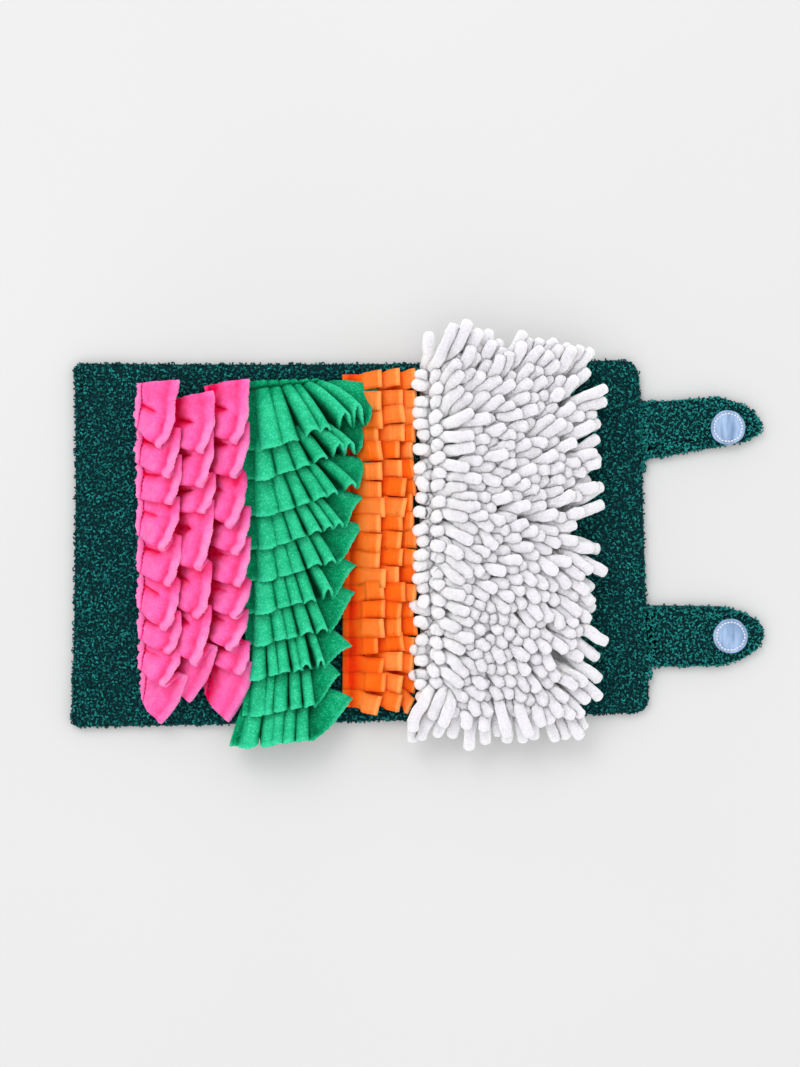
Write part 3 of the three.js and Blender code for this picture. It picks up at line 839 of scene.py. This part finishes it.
def frill_folds(frill):
    """A frill's folds from its cut start to its cut end, a row each: where the sewn edge lies along the
    seam and in which layer, where the free edge lies, its lift, how far it is drawn back, and in degrees
    its turn away from square to the seam, its rise and the lean of its lift, then its crease and the
    painted shade of its hollow."""
    pitches = frill["pitches"]
    starts = frill["flap"] + summed(pitches)
    first = frill["first_drawn"]
    folds = [[0.0, 0.0, 0.0, 0.0, first, frill["turn"][0], frill["rise"][0], frill["lean"], 0.0, 0.0]]
    for i, pitch in enumerate(pitches):
        seed = frill["seed"] + i
        tall = frill["high"] * uneven(seed, 1, frill["unlike"])
        shift = 0.16 * either_way(seed, 2)
        opened = float(mix(*frill["open"], (i / (len(pitches) - 1)) ** 0.6))
        point = 1 + frill["pointing"] * either_way(seed, 7)
        for k, (sewn, layer, free, lift, drawn, crease, hollow) in enumerate(frill["pleat"]):
            if opened > 0:
                free, lift = mix(free, OPEN_WAVE[k][0], opened), mix(lift, OPEN_WAVE[k][1], opened)
            free = sewn + (free - sewn) * point
            sewn_at = max(starts[i] + sewn * pitch, 0.5 * (k + 1))
            at = starts[i] + (free + shift) * pitch
            place = min(max(at / starts[-1], 0), 1)
            turn = mix(*frill["turn"], place ** frill["fan"]) + frill["stray"] * either_way(seed, 3)
            rise = mix(*frill["rise"], place**1.3) + 2 * either_way(seed, 4)
            if i == 0 and k < 2:
                drawn, hollow = first, 0.3 * hollow
            back = mix(drawn * point, 0.1, opened)
            leaned = mix(frill["lean"], -rise, opened)
            crease *= uneven(seed, 5, 0.5)
            sewn_edge, free_edge = [sewn_at, layer * LAYER], [at, lift * tall]
            folds.append([*sewn_edge, *free_edge, back, turn, rise, leaned, crease, hollow])
    corner_turn, corner_far, corner_rise = frill["corner"]
    corner_drawn = max(1 - corner_far / (frill["width"] * math.cos(math.radians(corner_rise))), 0)
    for sewn, lift, share in LOOSE_END:
        at = starts[-1] + sewn * frill["end"]
        turn = mix(frill["turn"][1], corner_turn, share)
        rise = mix(frill["rise"][1], corner_rise, float(ease(2 * share)))
        lean = mix(leaned, -corner_rise, share)
        drawn = mix(0.05, corner_drawn, share) + frill["pointed"] * math.sin(math.pi * share)
        # The loose end starts in painted shade beside the last pleat.
        hollow = frill["end_painted_shade"] * (1 - float(ease(1.6 * share)))
        folds.append([at, 0.0, at, lift, drawn, turn, rise, lean, 0.0, hollow])
    return np.array(folds)


def even_run(run, width, spacing):
    """The run again at an even spacing along the cloth, and how far along each row lies."""
    sewn, layer, free, lift, _, turn = run.T[:6]
    seam = np.stack([sewn, layer], axis=1)
    edge = np.stack([free + width * np.sin(np.radians(turn)), lift], axis=1)
    far = summed((steps_along(seam) + steps_along(edge)) / 2)
    at = np.linspace(0, far[-1], round(far[-1] / spacing) + 1)
    return rows_at(at, far, run), at


def frill_points(frill, rows, at, stations):
    """Where the cloth lies, for each row of the run and each station from the sewn to the free edge."""
    along, across, up = np.array(frill["along"]), np.array(frill["across"]), np.array([0.0, 0.0, 1.0])
    sewn, layer, free, lift, drawn, turn, rise, lean, crease, _ = rows.T[:, :, None]
    turn, rise, lean = np.radians(turn), np.radians(rise), np.radians(lean)
    outward = across * np.cos(rise) + up * np.sin(rise)
    normal = -across * np.sin(rise) + up * np.cos(rise)
    lifted = across * np.sin(lean) + up * np.cos(lean)
    width = frill["width"]
    chord = width * (1 - drawn)
    sideways = free - sewn + chord * np.sin(turn)
    raised = lift - layer
    tall = raised * np.cos(rise + lean)
    least = 0.12 * chord  # however far it runs sideways and up, the cloth reaches out a little
    reach = np.sqrt(np.maximum(chord**2 - sideways**2 - tall**2, least**2))
    # The height of a shallow arch over the chord, whose line is as long as the cloth is wide
    arch = frill["arch"] * chord * np.sqrt(3 / 8 * (width / chord - 1))
    seam = np.array(frill["start"]) + along * sewn + normal * layer
    t = stations[:, :, None]
    out = outward * reach + lifted * raised
    bow = normal[:, None] * (4 * t * (1 - t) * arch[:, None])
    swooped = np.maximum(t, 0) ** frill["swoop"] * sideways[:, None]
    points = seam[:, None] + along * swooped + out[:, None] * t + bow
    # The heading lies flat, the stitches pull a furrow, and the cloth comes free past them
    heading = frill["heading"] / width
    freed = 0.12 * ease(stations / heading) + 0.88 * ease((stations - heading) / frill["freed_by"])
    points[:, :, 2] = mix(seam[:, None, 2], points[:, :, 2], freed)
    points[:, :, 2] -= 0.7 * bell((stations - heading) * width / 0.8)
    dip = frill["crease"] * crease * crease_at(stations) - frill["roll"] * rolled(lift, stations)
    points -= normal[:, None] * dip[:, :, None]
    for i, j in np.ndindex(points.shape[:2]):
        u, v = at[i], stations[i, j] * width
        spot = Vector((u / 8 + frill["seed"], v / 9, 0.3 * frill["seed"]))
        crumple = 0.7 * noise.noise(spot) + 0.3 * noise.noise(spot * 2.7)
        points[i, j] += normal[i] * crumple * frill["crumple"] * float(ease(stations[i, j] * 2))
    points[:, :, 2] = np.maximum(points[:, :, 2], IN_PILE)
    return points


def crease_at(stations):
    """How far a crease has sunk at each station: it runs out from the heading and fades halfway."""
    return ease((stations - 0.13) / 0.06) * (1 - ease((stations - 0.46) / 0.2))


def rolled(lift, stations):
    """How far the cloth curls up before its free edge, and dips behind that, where it is lifted."""
    curl, dip = bell((stations - 0.94) / 0.07), bell((stations - 0.77) / 0.09)
    return np.clip(lift / 5, 0.5, 1) * (0.8 * curl - dip)


def frill_painted_light(frill, rows, stations):
    """The nap's painted light: painted shade deep in the hollows, the creases, the stitch furrow and under
    the row before, and painted highlights pale on the crests, the rolled ridge, the heading and the cut
    edges.
    """
    _, _, _, lift, _, _, _, _, crease, hollow = rows.T[:, :, None]
    from_edge = (stations.max(axis=1, keepdims=True) - stations) * frill["width"]
    from_seam = (stations - frill["heading"] / frill["width"]) * frill["width"]
    # Painted shade in the hollows, painted highlights on the crests, cut edges and heading, painted shadow
    # under the row before, painted shade in the stitch furrow and creases, and painted light and shade
    # where the free edge rolls.
    tone_and_painted_light = 0.5 - frill["hollow_painted_shade"] * hollow * ease(from_seam / 9)
    tone_and_painted_light += frill["crest_painted_highlight"] * np.clip(lift / lift.max(), 0, 1)
    tone_and_painted_light += frill["edge_painted_highlight"] * bell(from_edge / 1.1)
    tone_and_painted_light += frill["heading_painted_highlight"] * ease(-from_seam / 1.2)
    tone_and_painted_light -= frill["overhung_painted_shadow"] * (1 - ease((from_seam - 2) / 14)) + 0.7 * bell(from_seam / 0.9)
    tone_and_painted_light += 0.12 * frill["roll"] * rolled(lift, stations) - 0.8 * crease * crease_at(stations)
    return np.clip(tone_and_painted_light, 0, 1)


def frill(kind, number, row):
    """One gathered frill, from its raw heading to its cut free edge."""
    run = rounded_run(frill_folds(row), row["fold_round"])
    rows, at = even_run(run, row["width"], row["spacing"])
    t = np.concatenate([np.linspace(0, 0.2, 5), np.linspace(0.2, 1, row["stations"])[1:]])
    stations = np.repeat(t[None, :], len(at), axis=0)
    tooth = np.abs(np.sin(math.pi * at / row["tooth"])) * row["tooth_depth"]
    ragged = np.array([noise.noise(Vector((u / 1.1, row["seed"], 0))) for u in at]) * 0.5
    stations[:, -1] += (tooth + ragged) / row["width"]
    coarse = np.array([noise.noise(Vector((u / 3.5, 4.2, row["seed"]))) for u in at])
    fine = np.array([noise.noise(Vector((u, 9, row["seed"]))) for u in at])
    stations[:, 0] += (row["torn"] * (coarse + 0.6 * fine) - 0.6) / row["width"]
    points = frill_points(row, rows, at, stations)
    cloth = cloth_grid(points, frill_painted_light(row, rows, stations))
    piece = finished(cloth, f"{kind}_frill_{number}", row["material"])
    thicken(piece, row["thick"])
    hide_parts(f"{kind}_strip_{number}")
    return points


# The pink frills from left to right: where the seam starts, its way, the pleats' pitches, the cloth's
# width, the seed, the pleats' turn at the start and the end, the loose corner's turn, how far out it
# reaches and its rise, the loose end's length, and how deep the painted shadow is beside the seam, under
# the frill to its left
PINK_PITCHES = [
    (21, 21, 20.5, 21, 21, 21, 17.5, 17.5),
    (20.5, 23, 16, 28, 21.5, 25),
    (21.5, 22.5, 21, 20, 20, 16, 17, 14),
]
PINK_ROWS = [
    ((-127.2, 90.5), (0.0126, -1), PINK_PITCHES[0], 32.5, 11, (-3, 5), (48, 18, 16), 17, 0),
    ((-109, 80.5), (0, -1), PINK_PITCHES[1], 34.5, 31, (-10, 4), (45, 18, 16), 22, 0.5),
    ((-88.2, 89), (0, -1), PINK_PITCHES[2], 34.5, 57, (-7, 4), (47, 21, 16), 21, 0.5),
]
PINK_COLUMNS = ("start", "along", "pitches", "width", "seed", "turn", "corner", "end", "overhung_painted_shadow")


def build_pink():
    seams = []
    for i, row in enumerate(PINK_ROWS):
        full = {**PINK_MAKE, "rise": (25, 25), "open": (0, 0), "high": 1, **dict(zip(PINK_COLUMNS, row))}
        full["start"] = (*full["start"], SEAM_Z)
        full["along"] = (*unit(np.array(full["along"], float)), 0.0)
        points = frill("pink", i + 1, full)
        seams.append(top_line(points[:, 3], 2.6))
    stitches("pink_stitches", seams, 0.5, PINK_THREAD, 0.8)


def top_line(points, step):
    """Points at an even step down the seam, on whichever layer of cloth is on top there."""
    line = []
    order = -points[:, 1]
    for y in np.arange(order.min() + 1, order.max() - 1, step):
        near = np.abs(order - y) < 1.0
        if near.any():
            line.append((points[near, 0].mean(), -y, points[near, 2].max() + FLEECE * 0.8))
    return line


# The green frills from the top down: the height of the seam, its length, its pleats, the cloth's width,
# how open the waves are at the start and the end, the turn there, and the corner as for the pink frills
GREEN_ROWS = [
    (91, 40, 6, 43, (0.2, 1), (-6, 50), (87, 32, 20)),
    (70, 37, 6, 38, (0, 0.9), (-5, 54), (92, 29, 24)),
    (50, 37, 6, 39, (0, 0.8), (-4, 48), (80, 31, 20)),
    (30, 34, 6, 38, (0, 0.8), (-3, 40), (78, 28, 24)),
    (11, 34, 5, 37, (0, 0.7), (-2, 32), (88, 28, 24)),
    (-8, 34, 5, 37, (0, 0.85), (-2, 27), (73, 24, 26)),
    (-27, 34, 5, 36, (0, 0.7), (-2, 24), (80, 22, 28)),
    (-46, 34, 6, 37, (0, 0.85), (-4, 18), (54, 26, 26)),
    (-65.5, 34, 5, 38, (0, 0.5), (-4, 8), (50, 19, 28)),
    (-85, 34, 5, 37, (0, 0.4), (-16, 4), (72, 22, 26)),
]
GREEN_SEAM_X = -63.5


def build_green():
    for i, (seam, long, pleats, wide, opened, turn, corner) in enumerate(GREEN_ROWS):
        seed = 105 + 13 * i
        pitches = np.array([uneven(seed + k, 9, 0.16) for k in range(pleats)])
        full = {
            **GREEN_MAKE,
            "start": (GREEN_SEAM_X, seam, SEAM_Z),
            "along": (1.0, 0.0, 0.0),
            "pitches": pitches * (long - GREEN_MAKE["flap"]) / pitches.sum(),
            "width": wide,
            "seed": seed,
            "turn": turn,
            "corner": corner,
            "end": 3,
            "rise": (17, 24 + 16 * opened[1]),
            "open": opened,
            "high": max(1.35 - 0.15 * i, 1),
            # painted shadow beside the seam, under the row above
            "overhung_painted_shadow": 0.25,
        }
        frill("green", f"{i + 1:02d}", full)


build_pink()
build_green()


# ---- Slit orange felt strips ----

LOOPS = 19
LOOP_PITCH = 10.1
LOOP_BAND = 10.5
SLIT_FROM = 5.0  # the slits between bands start this far right of the crease
# From left to right: "top" is where the first band starts, "lean" the turn of the last ones, in degrees
LOOP_ROWS = [
    {"seam": -3.4, "reach": 19.5, "top": 95.5, "rise": 21, "seed": 7, "lean": 10},
    {"seam": 9.4, "reach": 18.5, "top": 96.5, "rise": 20, "seed": 43, "lean": 18},
    {"seam": 20.8, "reach": 13.5, "top": 96.5, "rise": 14, "seed": 83, "lean": 26},
]
HEADING_FOOT = [(-5.2, 0.55), (-1.0, 0.55)]
HEADING_TOP = [(3.6, 2.0), (0.8, 1.3), (-0.6, 1.3), (-2.4, 2.2), (-5.0, 1.9)]


def loop_section(reach, swell, buckle, ribs, seed):
    """A band's section, (right, up): heading, out along the bottom, round the fold and back on top."""
    corners = HEADING_FOOT + [(reach - 1.0, 0.55), (reach, 1.2 + swell / 2), (reach - 0.9, 2.2 + swell)]
    for k in range(ribs):
        at = reach - 1.9 - 1.7 * k
        corners += [(at, 1.7 + swell), (at - 0.8, 2.7 + swell)]
    if buckle > 0:
        at = reach * mix(0.4, 0.6, chance(seed, 9))
        crest = 2.1 + swell + buckle
        corners += [(at + 1.4, 2.0 + swell), (at + 0.6, crest)]
        corners += [(at - 0.5, crest - 0.2), (at - 1.0, 1.8 + swell * 0.6)]
    run = rounded_run(np.array(corners + HEADING_TOP, float), 0.42, 5)
    far = summed(steps_along(run))
    at = np.linspace(0, far[-1], round(far[-1] / 0.6) + 1)
    return rows_at(at, far, run), far[-1]


def band_points(row, i):
    """The corners of one folded band's cloth, their colour with its painted shade and highlights, and the
    band's length.
    """
    seed = row["seed"] + i
    reach = row["reach"] * uneven(seed, 1, 0.12)
    swell = 1.4 * uneven(seed, 2, 0.8)
    ribs = min(math.floor(4.4 * chance(seed, 10) ** 1.6), int(reach / 6))
    buckle = max(0.0, 2.4 * chance(seed, 5) - 1.4) * (ribs < 3)
    section, length = loop_section(reach, swell, buckle, ribs, seed)
    rise = math.radians(row["rise"] + 3 * either_way(seed, 3))
    late = float(ease((i - (LOOPS - 4)) / 3.5))
    early = 11 * max(1 - i / 2, 0)
    yaw = math.radians(6 * either_way(seed, 4) - row["lean"] * late + early)
    twist = math.radians(12 * either_way(seed, 6))
    across = np.linspace(-0.5, 0.5, 5)
    x, z = section[:, 0:1], section[:, 1:2]
    loose = ease((x - SLIT_FROM) / 6)
    slit = ease((x - SLIT_FROM + 2) / 2)
    y = across * mix(LOOP_PITCH + 0.05, LOOP_BAND * uneven(seed, 7, 0.07), slit)
    lift = z + loose * (y * math.tan(twist) + 0.3 * np.cos(across * math.pi))
    skew = x + loose * (0.1 * either_way(seed, 8) * y)
    turned_x = skew * np.cos(yaw * loose) - y * np.sin(yaw * loose)
    turned_y = skew * np.sin(yaw * loose) + y * np.cos(yaw * loose)
    # Past the stitches the band rises; the heading behind them lies flat
    up = np.maximum(turned_x + 1.0, 0)
    heading = np.minimum(turned_x, -1.0)
    right = heading + up * math.cos(rise) - lift * math.sin(rise) * (up > 0) + 1.0
    height = up * math.sin(rise) + lift * (1 - (1 - math.cos(rise)) * (up > 0))
    centre_y = row["top"] - (i + 0.5) * LOOP_PITCH + 0.9 * loose * either_way(seed, 12)
    points = np.stack([row["seam"] - 1.2 + right, centre_y + turned_y, SEWN_ON + 0.1 + height], axis=2)
    # Painted shade in the valley beside the heading, a painted highlight at each fold's end, painted shade
    # at the slit edges between bands, and each band lighter or darker at random.
    tone_and_painted_light = 0.58 - 0.5 * bell((x - 1) / 5) + 0.35 * ease((x - reach + 2.4) / 1.5)
    tone_and_painted_light = tone_and_painted_light - 0.12 * (np.abs(across) > 0.49) * ease((x - SLIT_FROM) / 2)
    tone_and_painted_light += 0.16 * either_way(seed, 11)
    return points, np.clip(tone_and_painted_light, 0, 1), length


def build_orange():
    for n, row in enumerate(LOOP_ROWS):
        bm = bmesh.new()
        bm.verts.layers.float.new("tone_and_painted_light")
        total = 0
        for i in range(LOOPS):
            points, tone_and_painted_light, length = band_points(row, i)
            total += length
            add(bm, cloth_grid(points, tone_and_painted_light))
        bmesh.ops.reverse_faces(bm, faces=bm.faces)
        piece = finished(bm, f"orange_loops_{n + 1}", ORANGE_FELT)
        thicken(piece, FLEECE * 0.95)
        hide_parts(f"orange_strip_{n + 1}")


build_orange()


# ---- The noodle panel ----

PANEL = {"left": 36, "right": 123, "top": 102, "bottom": -98}
PANEL_CLOTH = 1.4
NOODLE_RADIUS = 3.5
NOODLE_LENGTH = 28.5
# Rows of noodles along the panel's sides: how many, from where to where, which way they aim there, in
# degrees from +X, or None to lie as those near them do, their tilt and length, how unlike their lengths
# are, how far they slip along the row, how far they stray from their aim, and their first seed
NOODLE_SIDES = [
    (21, (118.5, 96), (118.5, -92), None, 86, 27, 0.3, 2.2, 10, 3),
    (13, (118, -92), (41, -92), (-58, -122), 86, 29, 0.16, 0.8, 10, 29),
    (9, (104, -84), (43, -83), (-60, -122), 64, 36, 0.16, 0.8, 10, 47),
    (12, (41, 99), (117, 94), (80, 50), 80, 27, 0.16, 0.8, 10, 61),
    (3, (43, 96), (60, 97), (72, 58), 66, 37, 0.16, 0.8, 10, 77),
    (27, (41.5, 95), (41.5, -92), (178, 182), 60, 13.5, 0.16, 0.8, 34, 91),
    (24, (43.5, 92), (43.5, -88), (70, -70), 30, 16, 0.16, 0.8, 10, 131),
]
# The grid of the noodles over the rest of the panel
GRID_COLUMNS, GRID_ROWS = 11, 26
GRID_LEFT, GRID_BOTTOM = 44.5, -86
GRID_ACROSS, GRID_UP = 6.9, 7.2
THIN_FROM = 104  # right of this, some of the grid's places are left empty
# How the noodles lie about the panel: (x, y, which way they aim, how far from upright)
NOODLE_LAY = np.array(
    [
        [(45, 88, 58, 70), (72, 92, 62, 72), (105, 92, 56, 72), (120, 84, 28, 74)],
        [(50, 60, -12, 68), (76, 68, 30, 70), (104, 66, 22, 72), (122, 52, 10, 74)],
        [(48, 36, -6, 68), (80, 32, 22, 68), (108, 24, 12, 70), (124, 18, 20, 74)],
        [(47, 0, -34, 68), (72, 4, -8, 60), (108, -4, -26, 68), (124, -2, -8, 74)],
        [(56, -24, -30, 64), (82, -30, -48, 48), (108, -36, -42, 62), (122, -32, -40, 72)],
        [(46, -56, -8, 66), (80, -57, -60, 26), (112, -60, -38, 58), (124, -64, -36, 74)],
        [(50, -80, -40, 66), (76, -84, -54, 62), (104, -84, -50, 66), (124, -88, -34, 76)],
    ],
    float,
).reshape(-1, 4)
LAY_SPREAD = 13


def noodle_lay(root):
    """Which way a noodle rooted there lies, from the places near it."""
    away = np.hypot(root[0] - NOODLE_LAY[:, 0], root[1] - NOODLE_LAY[:, 1])
    weight = np.exp(-((away / LAY_SPREAD) ** 2) / 2) + 1e-9
    aims = np.radians(NOODLE_LAY[:, 2])
    aim = math.atan2(np.sum(weight * np.sin(aims)), np.sum(weight * np.cos(aims)))
    tilt = np.sum(weight * NOODLE_LAY[:, 3]) / weight.sum()
    clump = noise.noise(Vector((root[0] / 16, root[1] / 16, 5.5)))
    return aim + 0.45 * clump, tilt


def side_noodles():
    """The noodles along the panel's sides, each (root, aim, tilt, length)."""
    for count, start, end, aims, tilt, length, unlike, slip, stray, first_seed in NOODLE_SIDES:
        for i in range(count):
            t = i / (count - 1)
            seed = first_seed + i
            root = mix(np.array(start, float), np.array(end, float), t)
            root = root + (0.8 * either_way(seed, 3), slip * either_way(seed, 4))
            if aims is None:
                aim = noodle_lay(root)[0] + 0.1 * either_way(seed, 2)
            else:
                aim = math.radians(mix(*aims, t) + stray * either_way(seed, 2))
            tilted = math.radians(tilt * uneven(seed, 5, stray / 200))
            yield root, aim, tilted, length * uneven(seed, 1, unlike)


def inner_noodles():
    """The noodles over the rest of the panel."""
    for row, column in np.ndindex(GRID_ROWS, GRID_COLUMNS):
        seed = 500 + row * GRID_COLUMNS + column
        x = GRID_LEFT + (column + 0.5 * (row % 2)) * GRID_ACROSS + 0.9 * either_way(seed, 1)
        y = GRID_BOTTOM + row * GRID_UP + 0.9 * either_way(seed, 2)
        if x > THIN_FROM and chance(seed, 7) < 0.4:
            continue
        root = np.array([x, y])
        aim, tilt = noodle_lay(root)
        aim += 0.14 * either_way(seed, 3)
        tilt += 6 * either_way(seed, 4)
        yield root, aim, math.radians(tilt), NOODLE_LENGTH * uneven(seed, 6, 0.12)


# How freely a noodle's joints move while it settles, from its root to its tip
GIVE = np.array([0.0, 0.35, 0.8, 1.0, 1.0, 1.0])[:, None]
LINKS = len(GIVE) - 1
SPRING = 0.05  # the share of the way back to its first line that a noodle springs in a round
SINK = 0.06
PUSH = 0.28  # the share of an overlap that is cleared in a round
CLEAR = 2 * NOODLE_RADIUS * 0.86  # their fibres reach into each other
CLOTH_TOP = SEWN_ON + 1.0
FLOOR_TOP = 0.4
PAST_PANEL = 4.0  # noodles go no further than this over the panel's left-hand edge


def bent_chain(root, aim, tilt, length):
    """A noodle's line before it settles: it leaves the cloth upright and bends over to its tilt."""
    out = np.array([math.cos(aim), math.sin(aim), 0])
    chain = [np.array([*root, SEWN_ON + PANEL_CLOTH])]
    for k in range(LINKS):
        bend = tilt * mix(0.35, 1.12, k / (LINKS - 1))
        way = out * math.sin(bend) + np.array([0, 0, math.cos(bend)])
        chain.append(chain[-1] + length / LINKS * way)
    return chain


def on_mat(points):
    x, y = points[..., 0], points[..., 1]
    return (np.abs(y) < MAT_WIDTH / 2 - 2) & (x < right_edge(y)) & (x > -MAT_LENGTH / 2)


def settle(chains, lengths, rounds=45):
    """Lets the noodles push each other apart until they lie side by side."""
    wanted = chains.copy()
    owner = np.repeat(np.arange(len(chains)), LINKS + 1)
    link = (lengths / LINKS)[:, None]
    for _ in range(rounds):
        chains += (wanted - chains) * SPRING * GIVE
        chains[:, 1:, 2] -= SINK
        flat = chains.reshape(-1, 3)
        apart = flat[:, None] - flat[None]
        distance = np.sqrt(np.sum(apart**2, axis=2)) + 1e-6
        overlap = np.where(owner[:, None] == owner[None], 0, np.maximum(CLEAR - distance, 0))
        push = np.sum(apart / distance[:, :, None] * overlap[:, :, None], axis=1) * PUSH
        chains += push.reshape(chains.shape) * GIVE
        for _ in range(3):
            keep_links(chains, link)
        ground = np.where(on_mat(chains), CLOTH_TOP, FLOOR_TOP) + NOODLE_RADIUS
        chains[:, 1:, 2] = np.maximum(chains[:, 1:, 2], ground[:, 1:])
        chains[:, :, 0] = np.maximum(chains[:, :, 0], PANEL["left"] - PAST_PANEL)
        chains[:, :, 2] = np.minimum(chains[:, :, 2], PILE_TOP)


def keep_links(chains, link):
    """Draws each joint back to the link's length from the one before it, which gives way a little."""
    for k in range(1, LINKS + 1):
        way = chains[:, k] - chains[:, k - 1]
        long = np.linalg.norm(way, axis=1, keepdims=True)
        excess = way / long * (long - link)
        if k > 1:
            chains[:, k - 1] += excess * 0.4
            chains[:, k] -= excess * 0.6
        else:
            chains[:, k] -= excess


def smooth_line(chain, s):
    """The point at share s along a settled noodle."""
    at = s * LINKS
    k = int(min(max(math.floor(at), 0), LINKS - 1))
    t = at - k
    p = [chain[min(max(k + d, 0), LINKS)] for d in (-1, 0, 1, 2)]
    return 0.5 * (
        2 * p[1]
        + (p[2] - p[0]) * t
        + (2 * p[0] - 5 * p[1] + 4 * p[2] - p[3]) * t**2
        + (3 * p[1] - p[0] - 3 * p[2] + p[3]) * t**3
    )


NOODLE_ROUND = 10
NOODLE_RINGS = 12
NOODLE_TIP = [(0, 0), (0.06, 0.36), (0.25, 0.68), (0.6, 0.94)]  # (radii back from the tip, width)


def noodle(chain, length, seed):
    """One chenille noodle, a ball drawn out along its line, lumpy all over."""
    bm = bmesh.new()
    way_along = bm.verts.layers.float.new("along")
    bmesh.ops.create_uvsphere(bm, u_segments=NOODLE_ROUND, v_segments=NOODLE_RINGS, radius=1.0)
    side = unit(np.cross(chain[-1] - chain[0], [0, 0, 1.0]) + np.array([1e-4, 0, 0]))
    last = NOODLE_RINGS - 1
    tip_rings = len(NOODLE_TIP)
    tip_back = NOODLE_TIP[-1][0]
    frames = []
    for k in range(NOODLE_RINGS + 1):
        if k < tip_rings:
            back, width = NOODLE_TIP[k]
            s = 1 - back * NOODLE_RADIUS / length
        else:
            share = (k - tip_rings + 1) / (last - tip_rings + 1)
            s = max((1 - tip_back * NOODLE_RADIUS / length) * (1 - share), 0)
            width = 0 if k > last else uneven(seed, 40 + k, 0.05)
        here = smooth_line(chain, s)
        way = unit(smooth_line(chain, min(s + 0.02, 1)) - smooth_line(chain, max(s - 0.02, 0)))
        flat = unit(side - way * np.dot(side, way))
        frames.append((here, flat, np.cross(way, flat), NOODLE_RADIUS * width, s * length))
    for v in bm.verts:
        ring = round(math.acos(max(-1, min(1, v.co.z))) / math.pi * NOODLE_RINGS)
        turn = math.atan2(v.co.y, v.co.x)
        here, flat, other, radius, far = frames[ring]
        wide = radius * uneven(seed * 7 + ring, 3 + round(turn * 4), 0.1)
        v.co = here + (flat * math.cos(turn) + other * math.sin(turn)) * wide
        v[way_along] = far
    return bm


def panel_cloth():
    """The white cloth that the noodles are set in."""
    u, v = np.meshgrid(np.linspace(0, 1, 24), np.linspace(0, 1, 48), indexing="ij")
    z = np.full_like(u, SEWN_ON + PANEL_CLOTH / 2)
    for i, j in np.ndindex(z.shape):
        z[i, j] += 0.3 * noise.noise(Vector((u[i, j] * 9, v[i, j] * 20, 3.3)))
    x, y = mix(PANEL["left"], PANEL["right"], u), mix(PANEL["bottom"], PANEL["top"], v)
    cloth = cloth_grid(np.stack([x, y, z], axis=2))
    piece = finished(cloth, "noodle_panel_cloth", CHENILLE)
    thicken(piece, PANEL_CLOTH - 0.3)
    return piece


def build_noodles():
    starts = list(side_noodles()) + list(inner_noodles())
    lengths = np.array([length for _, _, _, length in starts])
    chains = np.array([bent_chain(*start) for start in starts])
    settle(chains, lengths)
    cloth = panel_cloth()
    bm = bmesh.new()
    bm.verts.layers.float.new("along")
    for i, chain in enumerate(chains):
        add(bm, noodle(chain, lengths[i], i))
    pile = finished(bm, "noodle_pile", CHENILLE)
    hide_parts("noodle_panel")


build_noodles()


# ---- Floor, light and camera ----

SKY = 1.19
LAMP_AT = (-0.8, 1.5, 2.4)
LAMP_SIZE = 1.3
LAMP_POWER = 20
FLOOR_GREYS = [(0.3, (0.62,) * 3), (0.7, (0.64,) * 3)]
VIEW_TALL = 0.619  # what the camera takes in at the floor, from top to bottom
EYE = Vector((0.0245, 0.0038, 1.75))


def lit_room():
    bpy.context.scene.view_settings.view_transform = "Standard"
    world = bpy.data.worlds.new("studio")
    world.use_nodes = True
    sky = world.node_tree.nodes["Background"]
    sky.inputs["Color"].default_value = (1, 1, 1, 1)
    sky.inputs["Strength"].default_value = SKY
    bpy.context.scene.world = world
    key = bpy.data.lights.new("key", "AREA")
    key.size = LAMP_SIZE
    key.energy = LAMP_POWER
    lamp = in_scene("key", key)
    lamp.location = LAMP_AT
    lamp.rotation_euler = (-lamp.location).to_track_quat("-Z", "Y").to_euler()


def floor():
    bm = bmesh.new()
    bmesh.ops.create_grid(bm, x_segments=1, y_segments=1, size=12 / MM)
    mesh = metre_mesh(bm, "floor")
    finish = Finish("pale floor", 0.9)
    finish.paint(finish.colours(finish.grain(400), FLOOR_GREYS))
    mesh.materials.append(finish.material)
    in_scene("floor", mesh)


def overhead_camera():
    eye = bpy.data.cameras.new("overhead")
    eye.sensor_width = 36
    eye.lens = eye.sensor_width * EYE.z / VIEW_TALL
    camera = in_scene("overhead", eye)
    camera.location = EYE
    bpy.context.scene.camera = camera


lit_room()
floor()
overhead_camera()
